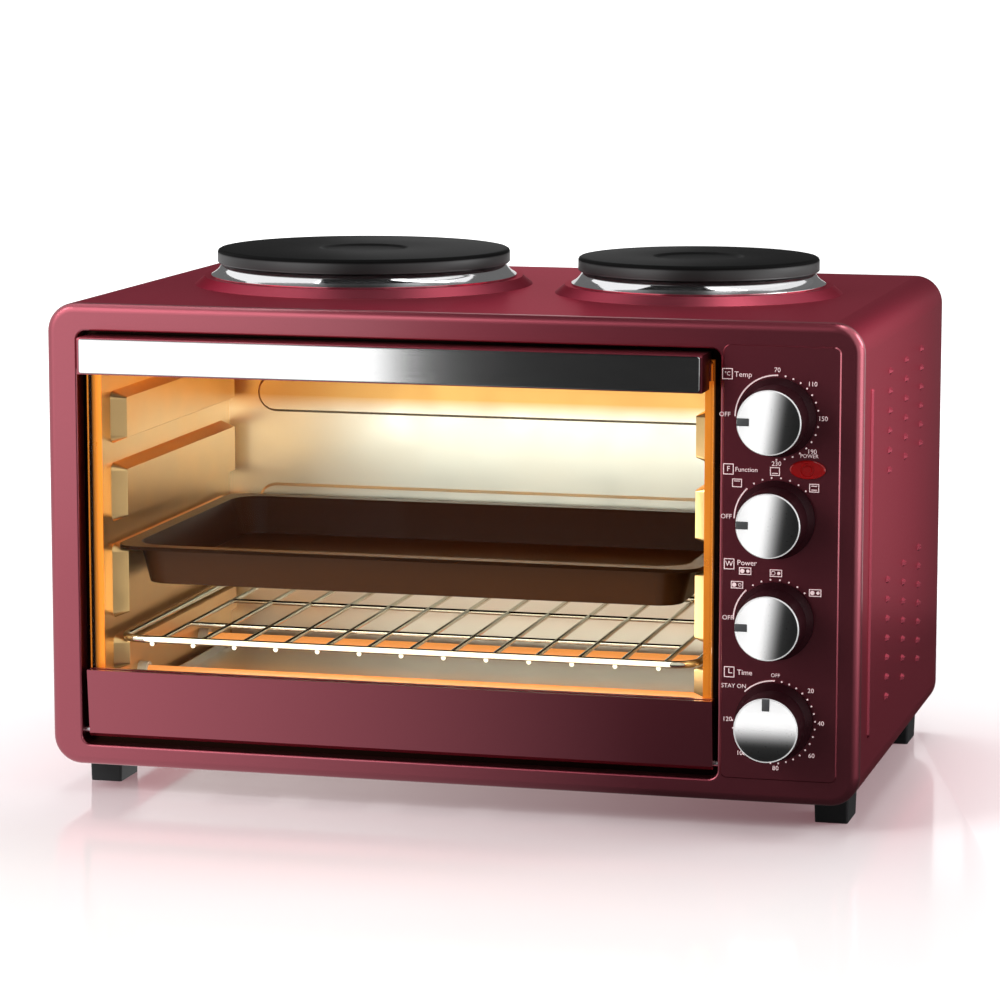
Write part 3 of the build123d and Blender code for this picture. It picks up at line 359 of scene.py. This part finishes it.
class OVEN_OT_hot_plates(Operator):
    """Turned cast plates and their bright flared rings"""
    bl_idname = "oven.hot_plates"
    bl_label = "Hot plates"

    def execute(self, context):
        iron = finish("plate_iron", colours().iron, 0.42, grain=1800, mottle=0.25, relief=0.10)
        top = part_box("large_plate")[1].z
        by_height(iron, "Specular IOR Level", top - TOP_MATT[0], (0.5, 0.5, 0.5, 1),
                  top - TOP_MATT[1], (0.01, 0.01, 0.01, 1))
        chrome = metal("ring_chrome", (0.86, 0.86, 0.87), 0.07, grain=200, mottle=0.03, rough_spread=0.03,
                       relief=0.01)
        up = Vector((0, 0, 1))
        for size in ("large", "small"):
            low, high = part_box(size + "_plate")
            ring_low, ring_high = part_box(size + "_trim_ring")
            centre = Vector(((low.x + high.x) / 2, (low.y + high.y) / 2, 0))
            r, top, rim = (high.x - low.x) / 2, high.z, ring_high.z
            plate = [*((out * MM, top - down * MM) for out, down in PLATE_RECESS),
                     *((r - back * MM, top - down * MM) for back, down in PLATE_EDGE),
                     (r, rim + 1.0 * MM), (r - 0.8 * MM, rim + 0.2 * MM), (r - PLATE_LIP, rim + 0.2 * MM),
                     (r - PLATE_LIP, rim - PLATE_HUB), (0, rim - PLATE_HUB)]
            finished("plate_disc_" + size, turned(plate, centre, up), iron, "oven",
                     stands_for=(size + "_plate",))
            outer, foot = (ring_high.x - ring_low.x) / 2, ring_low.z
            flare = [(r - RING_WIDTH, rim - RING_SHEET), (r - RING_WIDTH, rim),
                     *((r - back * MM, rim - down * MM) for back, down in RING_FLARE),
                     (outer - 0.8 * MM, rim - 6.6 * MM), (outer, foot + 0.9 * MM), (outer, foot + 0.2 * MM),
                     (outer - 0.3 * MM, foot), (outer - 2.4 * MM, foot), (r - 1.8 * MM, rim - 4.2 * MM),
                     (r - 5.4 * MM, rim - RING_SHEET)]
            finished("plate_ring_" + size, turned(flare, centre, up), chrome, "oven",
                     stands_for=(size + "_trim_ring",))
        dress(metal("strap_steel", (0.55, 0.55, 0.56), 0.4, grain=120, mottle=0.12), "plate_straps")
        return {"FINISHED"}


HANDLE_EDGE = 1 * MM    # width of the dark line round the handle strip


class OVEN_OT_door(Operator):
    """Glass pane, lacquered rails, bright handle strip, pins and stay arms"""
    bl_idname = "oven.door"
    bl_label = "Door"

    def execute(self, context):
        lacquer = bpy.data.materials["bezel_lacquer"]
        dress(lacquer, "door_strip", "door_rail")
        bar = metal("handle_steel", (0.97, 0.97, 0.97), 0.12, grain=40, stretch=(1, 30, 30), mottle=0.02,
                    rough_spread=0.02, relief=0.0)
        inside_window(bar, "Base Color", *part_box("handle_strip"), (0.97, 0.97, 0.97, 1), (0.08, 0.08, 0.08, 1),
                      HANDLE_EDGE)
        dress(bar, "handle_strip")
        glass = finish("window_glass", (0.93, 0.96, 0.95), 0.01, grain=30, mottle=0.01, rough_spread=0.005,
                       relief=0.0, sockets={"Transmission Weight": 1.0, "IOR": 1.10})
        shade_rays_pass(glass)
        dress(glass, "door_glass")
        steel = metal("bright_steel", (0.62, 0.62, 0.63), 0.3, grain=140, mottle=0.08)
        dress(steel, "hinge_pins", "stay_arm_left", "stay_arm_right", "timer", *[d + "_spindle" for d in DIALS])
        return {"FINISHED"}


def shade_rays_pass(mat):
    """Lets shadow rays through a clear pane, as thin glass does."""
    tree = mat.node_tree
    shadow, clear = add(tree, "LightPath").outputs["Is Shadow Ray"], add(tree, "BsdfTransparent")
    surface(mat, add(tree, "MixShader", shadow, shader(mat).outputs[0], clear.outputs[0]).outputs[0])


FACE_CROWN = ((1.0, 0.34), (0.75, 0.12), (0.35, 0.1), (0, 0.45))    # mm inside the rim, and behind the middle
POINTER_HALF = 2.2 * MM
POINTER_REACH = (7.2 * MM, 0.15 * MM)    # its ends, inside the rim
POINTER_PROUD = 0.15 * MM
REST_TURN = {"temperature": -90.0, "function": -90.0, "plate": -90.0, "timer": 0.0}    # pointer's clock angle


class OVEN_OT_knobs(Operator):
    """Dark skirted knobs with crowned faces that carry a painted reflection, and the works behind them"""
    bl_idname = "oven.knobs"
    bl_label = "Knobs"

    def execute(self, context):
        dark = finish("knob_plastic", colours().knob, 0.42, grain=1400, mottle=0.15, relief=0.06,
                      sockets={"Specular IOR Level": 0.05})
        key = finish("pointer_grey", (0.055, 0.057, 0.060), 0.45, grain=900, mottle=0.1)
        dress(dark, *[d + "_knob" for d in DIALS])
        front = Vector((0, -1, 0))
        for dial in DIALS:
            low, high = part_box(dial + "_cap")
            centre = dial_centre(dial)
            centre.y = 0
            r = (high.x - low.x) / 2
            back, face = -high.y, -low.y
            disc = [(0, face), (r * 0.5, face - 0.08 * MM), (r * 0.8, face - 0.22 * MM),
                    *((r - inside * MM, face - behind * MM) for inside, behind in FACE_CROWN), (r, back), (0, back)]
            turn = REST_TURN[dial]
            finished("knob_face_" + dial, turned(disc, centre, front), face_painted_reflection(dial, centre, turn),
                     dial + "_dial", stands_for=(dial + "_cap",))
            bm = bmesh.new()
            rounded_block(bm, (-POINTER_HALF, low.y - POINTER_PROUD, r - POINTER_REACH[0]),
                          (POINTER_HALF, high.y, r - POINTER_REACH[1]), 0.35 * MM)
            bmesh.ops.rotate(bm, verts=bm.verts, cent=(0, 0, 0), matrix=Matrix.Rotation(math.radians(turn), 3, "Y"))
            bmesh.ops.translate(bm, verts=bm.verts, vec=centre)
            finished("knob_pointer_" + dial, bm, key, dial + "_dial")
        cream = finish("switch_moulding", (0.72, 0.68, 0.58), 0.5, grain=300, mottle=0.06)
        dress(cream, "thermostat", "function_switch", "plate_switch", "terminal_block")
        lens = finish("lamp_lens", colours().lens, 0.12, grain=500, mottle=0.2,
                      sockets={"Emission Color": (0.9, 0.01, 0.01, 1), "Emission Strength": 0.03})
        dress(lens, "indicator_lens")
        return {"FINISHED"}


# Painted reflection on the knob faces: stops (place, grey) of a bright-to-dark sweep across each face
FACE_PAINTED_SWEEP = ((0.0, 0.75), (0.25, 1.0), (0.44, 1.0), (0.56, 0.45), (0.68, 0.06), (0.78, 0.015), (1.0, 0.012))
FACE_REACH = 18.3 * MM                   # half the length of that sweep
FACE_RIM_HIGHLIGHT = (17.5 * MM, 17.75 * MM)       # where the painted highlight on the rim starts
FACE_RIM_HIGHLIGHT_TONE = (0.62, 0.62, 0.62, 1)
FACE_TILT = 8                            # degrees off the pointer, on the dials that rest on their side


def face_painted_reflection(dial, centre, turn):
    """Face metal with a painted reflection that runs from bright to dark across the disc, in line with its pointer,
    and a painted highlight on its rim; the same tone also glows faintly.
    """
    mat = metal("knob_face_painted_reflection_" + dial, (0.8, 0.8, 0.8), 0.28, grain=900, mottle=0.02, rough_spread=0.02, relief=0.0,
                sockets={"Metallic": 0.25, "Specular IOR Level": 0.3, "Emission Strength": 0.28})
    tree = mat.node_tree
    tilt = FACE_TILT if turn else 0
    turn_to = add(tree, "Mapping", object_place(tree), Location=centre, Rotation=(0, math.radians(turn + tilt), 0))
    turn_to.vector_type = "TEXTURE"
    place = turn_to.outputs["Vector"]
    up = add(tree, "SeparateXYZ", place).outputs["Z"]
    ramp = add(tree, "ValToRGB", ranged(tree, up, FACE_REACH, -FACE_REACH))
    sweep = ramp.color_ramp
    sweep.interpolation = "B_SPLINE"
    sweep.elements.remove(sweep.elements[0])
    for i, (at, tone) in enumerate(FACE_PAINTED_SWEEP):
        stop = sweep.elements[0] if i == 0 else sweep.elements.new(at)
        stop.position = at
        stop.color = (tone, tone, tone, 1)
    flat = add(tree, "VectorMath", place, (1, 0, 1), operation="MULTIPLY").outputs["Vector"]
    radius = add(tree, "VectorMath", flat, operation="LENGTH").outputs["Value"]
    tone = mixed(tree, ranged(tree, radius, *FACE_RIM_HIGHLIGHT), ramp.outputs["Color"], FACE_RIM_HIGHLIGHT_TONE)
    # The painted tone is both the face's colour and a faint glow
    for socket in ("Base Color", "Emission Color"):
        feed(tree, shader(mat).inputs[socket], tone)
    return mat


# Dial print. Clock angles in degrees, 0 at the top, clockwise; (angle, radius in mm, text or sign)

ARCS = {"temperature": (-90, 0), "function": (-90, -45), "plate": (-90, -45), "timer": (-45, 0)}
DOTS = {"temperature": (0, 180, 16), "function": (-45, 45, 7), "plate": (-45, 45, 7), "timer": (0, 270, 25)}
LABELS = {
    "temperature": ((0, 26.7, "70"), (46, 27.8, "110"), (90, 26.1, "150"), (133, 27.5, "190"), (180, 26.2, "230")),
    "function": ((-48, 30.1, "top"), (-1.7, 27.4, "bottom"), (49, 28.6, "both")),
    "plate": ((-47.5, 29.6, "left"), (-31.6, 32.9, "pair"), (0.8, 27.5, "right"), (53, 28.6, "pair")),
    "timer": ((48, 28.4, "20"), (89, 27.1, "40"), (130, 28.6, "60"), (177, 26.6, "80"), (-135.5, 26.4, "100"),
              (-89, 26.7, "120")),
}
# Words and signs placed on the fascia: x and z in mm over the casing's foot, height of the capitals in mm
OFF_MARKS = {"temperature": (163.9, 0.9), "function": (165.2, 0.9), "plate": (166.6, 0.9)}
WORDS = {
    "temperature": ((174.2, 245.3, 3.0, "Temp"), (212.2, 200.4, 2.1, "POWER")),
    "function": ((176.5, 191.6, 2.6, "Function"),),
    "plate": ((177.3, 138.5, 3.0, "Power"),),
    "timer": ((176.6, 75.6, 3.0, "Time"), (170.4, 67.7, 2.4, "STAY ON"), (194.3, 74.8, 2.1, "OFF")),
}
TAKEN_DOT = ("temperature", 8)      # a number stands in this dot's place
SIGNS = {"temperature": (165.2, 245.6, "\u00b0C"), "function": (166.2, 191.7, "F"), "plate": (167.1, 137.7, "W"),
         "timer": (167.7, 75.7, "clock")}
SIGN_LINE = 0.45 * MM
HEATER_FRAME, PLATES_FRAME, SIGN_FRAME = (5.6 * MM, 4.8 * MM), (7.0 * MM, 4.2 * MM), (6.0 * MM, 6.2 * MM)
HEATER_BARS = ((1.1 * MM, ("top", "both")), (-1.1 * MM, ("bottom", "both")))    # height, signs that show it
PLATE_RINGS = ((-1, 1.25 * MM, ("left", "pair")), (1, 0.95 * MM, ("right", "pair")))    # side, radius, filled in
LONE_LETTER, TWO_LETTERS = 3.0 * MM, 2.2 * MM      # heights of the capitals in a frame


def clock(angle, radius):
    a = math.radians(angle)
    return Vector((math.sin(a) * radius, 0, math.cos(a) * radius))


def bar(bm, x0, z0, x1, z1):
    """Flat printed bar between two corners, in the plane of the fascia."""
    centre = Vector(((x0 + x1) / 2, 0, (z0 + z1) / 2))
    bmesh.ops.create_grid(bm, x_segments=1, y_segments=1, size=0.5,
                          matrix=Matrix.Translation(centre) @ Matrix.Diagonal((abs(x1 - x0), 1, abs(z1 - z0), 1))
                          @ Matrix.Rotation(math.pi / 2, 4, "X"))


def dot(bm, centre, radius, steps=16):
    bmesh.ops.create_circle(bm, cap_ends=True, segments=steps, radius=radius,
                            matrix=Matrix.Translation(centre) @ Matrix.Rotation(math.pi / 2, 4, "X"))


def arc(bm, centre, radius, width, start, end):
    """Printed arc, spun from a short radial edge."""
    first = centre + clock(start, radius)
    reach = clock(start, width / 2)
    ends = [bm.verts.new(first - reach), bm.verts.new(first + reach)]
    edge = bm.edges.new(ends)
    bmesh.ops.spin(bm, geom=ends + [edge], cent=centre, axis=(0, 1, 0), angle=math.radians(end - start),
                   steps=max(6, int(abs(end - start) / 3)), use_merge=False)


def outline(bm, centre, width, height, line):
    w, h = width / 2, height / 2
    x, z = centre.x, centre.z
    bar(bm, x - w, z - h, x + w, z - h + line)
    bar(bm, x - w, z + h - line, x + w, z + h)
    bar(bm, x - w, z - h + line, x - w + line, z + h - line)
    bar(bm, x + w - line, z - h + line, x + w, z + h - line)


def pictogram(bm, kind, c):
    """Small framed sign: heater bars, plate dots, a clock or a letter."""
    line = SIGN_LINE
    if kind in ("top", "bottom", "both"):
        outline(bm, c, *HEATER_FRAME, line)
        for z, used in HEATER_BARS:
            if kind in used:
                bar(bm, c.x - 1.7 * MM, c.z + z - line / 2, c.x + 1.7 * MM, c.z + z + line / 2)
    elif kind in ("left", "right", "pair"):
        outline(bm, c, *PLATES_FRAME, line)
        for side, radius, used in PLATE_RINGS:
            at = c + Vector((side * 1.6 * MM, 0, 0))
            if kind in used:
                dot(bm, at, radius)
            else:
                arc(bm, at, radius - 0.15 * MM, 0.3 * MM, 0, 360)
    else:
        outline(bm, c, *SIGN_FRAME, line)
        if kind == "clock":
            bar(bm, c.x - line, c.z - 0.3 * MM, c.x, c.z + 2.0 * MM)
            bar(bm, c.x - line, c.z - 0.3 * MM - line, c.x + 1.7 * MM, c.z - 0.3 * MM)
        else:
            word(bm, kind, c, LONE_LETTER if len(kind) == 1 else TWO_LETTERS)


def word(bm, text, centre, capitals):
    """Adds a short word as flat faces, centred on a point of the fascia; capitals is their height."""
    curve = bpy.data.curves.new("dial_word", "FONT")
    curve.body = text
    curve.size = capitals / CAPITAL_SHARE
    curve.align_x, curve.align_y = "CENTER", "CENTER"
    curve.resolution_u = 3
    holder = bpy.data.objects.new("dial_word", curve)
    mesh = bpy.data.meshes.new_from_object(holder)
    mesh.transform(Matrix.Translation(centre) @ Matrix.Rotation(math.pi / 2, 4, "X"))
    bm.from_mesh(mesh)
    bpy.data.objects.remove(holder)
    bpy.data.curves.remove(curve)
    bpy.data.meshes.remove(mesh)


class OVEN_OT_dial_marks(Operator):
    """Printed arcs, dots, numbers and pictograms round each knob"""
    bl_idname = "oven.dial_marks"
    bl_label = "Dial marks"

    def execute(self, context):
        # The print glows faintly in its own colour, a painted glow that lifts it
        ink = finish("dial_print_painted_glow", colours().print_ink, 0.6, grain=2000, mottle=0.05,
                     sockets={"Emission Color": (*colours().print_ink, 1), "Emission Strength": 0.15})
        face = FASCIA_Y - PRINT_LIFT
        for dial in DIALS:
            bm = bmesh.new()
            centre = dial_centre(dial)
            centre.y = face
            radius = sizes().mark_radius
            arc(bm, centre, radius, sizes().mark_width, *ARCS[dial])
            start, end, count = DOTS[dial]
            for i in range(count + 1):
                if (dial, i) == TAKEN_DOT:
                    continue
                dot(bm, centre + clock(start + (end - start) * i / count, radius), sizes().dot, 12)
            for angle, reach, text in LABELS[dial]:
                at = centre + clock(angle, reach * MM)
                if text.isdigit():
                    word(bm, text, at, sizes().digits)
                else:
                    pictogram(bm, text, at)
            if dial in OFF_MARKS:
                x, lift = OFF_MARKS[dial]
                word(bm, "OFF", Vector((x * MM, face, centre.z + lift * MM)), sizes().capitals)
            for x, z, capitals, text in WORDS[dial]:
                word(bm, text, Vector((x * MM, face, z * MM + CASE_FOOT)), capitals * MM)
            x, z, kind = SIGNS[dial]
            pictogram(bm, kind, Vector((x * MM, face, z * MM + CASE_FOOT)))
            for v in bm.verts:
                v.co.y = face
            bmesh.ops.recalc_face_normals(bm, faces=bm.faces)
            made = bmesh.ops.extrude_face_region(bm, geom=bm.faces[:])
            moved = [v for v in made["geom"] if isinstance(v, bmesh.types.BMVert)]
            bmesh.ops.translate(bm, verts=moved, vec=(0, -sizes().ink, 0))
            finished("dial_marks_" + dial, bm, ink, "oven")
        return {"FINISHED"}


# Stage

# Camera: place in metres, the three directions it is turned to, lens and sensor in mm
CAMERA_AT = (0.5922, -2.2955, 0.5197)
CAMERA_RIGHT = (0.968026, 0.250851, 0.000333)
CAMERA_DOWN = (0.037484, -0.143339, -0.988963)
CAMERA_AHEAD = (-0.248035, 0.957355, -0.148159)
CAMERA_LENS, CAMERA_SENSOR = 141.9, 36.0
FLOOR_SIZE = 40.0
WORLD_LEVELS = (0.45, 1.0)         # as light that falls on things, and seen directly

# Floor, in metres from the middle of the oven's base
FLOOR_SLANT = 0.27                 # sideways run of its pale and dark halves, of the run in depth
FLOOR_LIFT = (0.5, 1.6, 0.16, 0.85)           # reach and level where the lift to plain white starts and ends
FLOOR_PAINTED_BOUNCE = (1.0, 0.45, 0.52, 1)            # painted pink bounce: tint of the lift beside the oven, for its red light reflected onto the floor
FLOOR_PAINTED_BOUNCE_REACH = (0.27, 0.50)
FLOOR_MIRROR = (-0.95, -0.20, 0.0, 0.50)      # depth and strength of the mirror image in front
FLOOR_MIRROR_END = (0.235, 0.275, 1.0, 0.0)   # and where it ends beside the oven
FLOOR_SIDES = (-0.20, 0.16, 1.0, 0.07)        # pale left to dark right, as mirror rays see it
FLOOR_FAR_RIGHT = (0.6, 1.2, 0.0, 0.9)


def seen_directly(tree):
    """Socket that is 1 for camera, mirror and glass rays and 0 for the light that falls on things."""
    ray = add(tree, "LightPath").outputs
    either = calc(tree, "MAXIMUM", ray["Is Camera Ray"], ray["Is Glossy Ray"])
    return calc(tree, "MAXIMUM", either, ray["Is Transmission Ray"])


def floor_white():
    """White floor that keeps its shadows and a faint mirror image near the oven, with a painted pink bounce beside
    it, and is plain white far from it.

    Mirror rays from the oven see it pale to the left and dark to the right of a slanting line.
    """
    mat = finish("floor_white", (0.78, 0.78, 0.78), 0.1, grain=6, mottle=0.004, rough_spread=0.02, relief=0.0)
    tree = mat.node_tree
    place = object_place(tree)
    reach = add(tree, "VectorMath", place, operation="LENGTH").outputs["Value"]
    # Painted pink bounce of the oven's red near it, fading to white further out
    painted_bounce = mixed(tree, ranged(tree, reach, *FLOOR_PAINTED_BOUNCE_REACH), FLOOR_PAINTED_BOUNCE, WHITE)
    strength = calc(tree, "MULTIPLY", ranged(tree, reach, *FLOOR_LIFT), seen_directly(tree))
    lift = add(tree, "Emission", painted_bounce, strength).outputs[0]
    lifted = add(tree, "AddShader", shader(mat).outputs[0], lift).outputs[0]

    depth = add(tree, "SeparateXYZ", place).outputs["Y"]
    ends = ranged(tree, along(tree, place, (1.0, FLOOR_SLANT, 0.0)), *FLOOR_MIRROR_END)
    feed(tree, shader(mat).inputs["Specular IOR Level"],
         calc(tree, "MULTIPLY", ranged(tree, depth, *FLOOR_MIRROR), ends))

    slant = along(tree, place, (1.0, -FLOOR_SLANT, 0.0))
    level = calc(tree, "MAXIMUM", ranged(tree, slant, *FLOOR_SIDES), ranged(tree, slant, *FLOOR_FAR_RIGHT))
    mirrored = add(tree, "Emission", Strength=level).outputs[0]
    glossy = add(tree, "LightPath").outputs["Is Glossy Ray"]
    surface(mat, add(tree, "MixShader", glossy, lifted, mirrored).outputs[0])
    return mat


def grey_card(name, level):
    """Even grey for a reflector card, from black to white."""
    mat = bpy.data.materials.new(name)
    mat.use_nodes = True
    surface(mat, add(mat.node_tree, "Emission", Strength=level).outputs[0])
    return mat


def area_light(name, at, aim, size, power, tint=(1, 1, 1), size_y=None):
    lamp = bpy.data.lights.new(name, "AREA")
    lamp.energy = power
    lamp.color = tint
    lamp.shape = "RECTANGLE"
    lamp.size, lamp.size_y = size, size_y or size
    obj = bpy.data.objects.new(name, lamp)
    bpy.context.scene.collection.objects.link(obj)
    obj.location = at
    obj.rotation_mode = "QUATERNION"
    obj.rotation_quaternion = (Vector(aim) - Vector(at)).to_track_quat("-Z", "Y")


def card(name, low, high, mat):
    """Flat card, upright or level, between two opposite corners, that only mirror rays see."""
    (x0, y0, z0), (x1, y1, z1) = low, high
    second, fourth = ((x1, y0, z0), (x0, y1, z0)) if z0 == z1 else ((x1, y1, z0), (x0, y0, z1))
    bm = bmesh.new()
    bm.faces.new([bm.verts.new(c) for c in (low, second, high, fourth)])
    obj = staged(name, bm, mat)
    obj.visible_camera = obj.visible_diffuse = obj.visible_shadow = obj.visible_transmission = False


def staged(name, bm, mat):
    """Closes a bmesh into a part of the stage."""
    mesh = bpy.data.meshes.new(name)
    bm.to_mesh(mesh)
    bm.free()
    obj = bpy.data.objects.new(name, mesh)
    bpy.context.scene.collection.objects.link(obj)
    dress(mat, obj)
    return obj


# Soft lamps: name, place, aim, size in metres, watts
LAMPS = (
    ("key_soft", (-1.5, -1.6, 1.5), (-0.1, 0.0, 0.15), 1.2, 42),
    ("side_soft", (2.0, 0.6, 1.2), (0.2, 0.1, 0.15), 1.2, 24),
    ("top_soft", (0.0, 0.3, 2.0), (0.0, 0.1, 0.2), 1.4, 22),
)
# Lamps inside the cavity: depth below its lid, width, height, watts, tint
GLOW_LAMP = (12 * MM, 0.32, 0.10, 0.3, (1.0, 0.46, 0.06))
FILL_LAMP = (125 * MM, 0.32, 0.13, 0.36, (1.0, 0.98, 0.86))
FILL_FALL = 15 * MM        # fall of the fill lamp's aim on the rear wall
FILL_IN = 5 * MM           # its place behind the cavity's mouth

GREYS = {"card_black": 0.015, "card_white": 1.45, "card_side_near": 0.17, "card_side_far": 0.9, "card_grey": 0.15,
         "card_pale": 0.72, "card_low": 0.09, "card_lamp": 2.8}
# Reflector cards: name, two opposite corners in metres, grey
CARDS = (
    ("card_front_left", (-1.6, -1.1, 0.0), (-0.30, -1.1, 1.5), "card_white"),
    ("card_front", (-0.30, -1.1, 0.0), (0.02, -1.1, 1.5), "card_black"),
    ("card_front_far", (0.02, -1.1, 0.0), (0.6, -1.1, 1.5), "card_low"),
    ("card_side", (0.25, 0.25, 0.06), (0.31, 0.25, 1.2), "card_side_near"),
    ("card_side_far", (0.31, 0.25, 0.06), (0.5, 0.25, 1.2), "card_side_far"),
    ("card_top", (-0.42, -1.09, 1.3), (0.27, 0.8, 1.3), "card_black"),
    ("card_top_back", (-0.42, 0.8, 1.3), (0.27, 1.0, 1.3), "card_grey"),
    ("card_right", (1.1, -0.6, 0.0), (1.1, 0.1, 0.5), "card_lamp"),
    ("card_back", (-1.2, 1.0, 0.3), (0.9, 1.0, 1.4), "card_grey"),
    ("card_back_pale", (-0.4, 0.99, 0.3), (-0.10, 0.99, 1.2), "card_pale"),
)


class OVEN_OT_stage(Operator):
    """Camera, pale floor, soft lights and reflector cards"""
    bl_idname = "oven.stage"
    bl_label = "Stage"

    def execute(self, context):
        scene = context.scene
        scene.view_settings.view_transform = "Standard"
        cam = bpy.data.cameras.new("camera")
        cam.lens, cam.sensor_width = CAMERA_LENS, CAMERA_SENSOR
        cam.clip_end = 200.0
        obj = bpy.data.objects.new("camera", cam)
        scene.collection.objects.link(obj)
        turn = Matrix((CAMERA_RIGHT, [-c for c in CAMERA_DOWN], [-c for c in CAMERA_AHEAD])).transposed()
        obj.matrix_world = Matrix.Translation(CAMERA_AT) @ turn.to_4x4()
        scene.camera = obj

        bm = bmesh.new()
        bmesh.ops.create_grid(bm, x_segments=2, y_segments=2, size=FLOOR_SIZE)
        staged("floor", bm, floor_white())

        world = bpy.data.worlds.new("studio")
        scene.world = world
        world.use_nodes = True
        tree = world.node_tree
        sky = tree.nodes["Background"]
        feed(tree, sky.inputs["Strength"], ranged(tree, seen_directly(tree), 0.0, 1.0, *WORLD_LEVELS))
        sky.inputs["Color"].default_value = WHITE

        for lamp in LAMPS:
            area_light(*lamp)
        low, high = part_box("cavity_top")
        mid_x, mid_y = (low.x + high.x) / 2, (low.y + high.y) / 2
        drop, wide, tall, power, tint = GLOW_LAMP
        area_light("cavity_glow", (mid_x, mid_y, low.z - drop), (mid_x, mid_y, 0), wide, power, tint, tall)
        drop, wide, tall, power, tint = FILL_LAMP
        area_light("cavity_fill", (mid_x, low.y + FILL_IN, low.z - drop), (mid_x, high.y, low.z - drop - FILL_FALL),
                   wide, power, tint, tall)

        greys = {name: grey_card(name, level) for name, level in GREYS.items()}
        for name, low, high, grey in CARDS:
            card(name, low, high, greys[grey])
        return {"FINISHED"}


class OVEN_PT_parts(Panel):
    """Lists the pieces and their sizes"""
    bl_idname = "OVEN_PT_parts"
    bl_label = "Table oven"
    bl_space_type = "VIEW_3D"
    bl_region_type = "UI"
    bl_category = "Oven"

    def draw(self, context):
        column = self.layout.column(align=True)
        for group in (context.scene.oven_sizes, context.scene.oven_colours):
            for prop in group.bl_rna.properties:
                if prop.identifier not in ("rna_type", "name"):
                    column.prop(group, prop.identifier)
        for operator in OPERATORS:
            column.operator(operator.bl_idname)


OPERATORS = (OVEN_OT_casing, OVEN_OT_cavity, OVEN_OT_racks, OVEN_OT_hot_plates, OVEN_OT_door, OVEN_OT_knobs,
             OVEN_OT_dial_marks, OVEN_OT_stage)
CLASSES = (OvenColours, OvenSizes, *OPERATORS, OVEN_PT_parts)


def register():
    for cls in CLASSES:
        bpy.utils.register_class(cls)
    bpy.types.Scene.oven_colours = PointerProperty(type=OvenColours)
    bpy.types.Scene.oven_sizes = PointerProperty(type=OvenSizes)


def unregister():
    del bpy.types.Scene.oven_sizes
    del bpy.types.Scene.oven_colours
    for cls in reversed(CLASSES):
        bpy.utils.unregister_class(cls)


def main():
    register()
    bpy.ops.oven.casing()
    bpy.ops.oven.cavity()
    bpy.ops.oven.racks()
    bpy.ops.oven.hot_plates()
    bpy.ops.oven.door()
    bpy.ops.oven.knobs()
    bpy.ops.oven.dial_marks()
    bpy.ops.oven.stage()


if __name__ == "__main__":
    main()
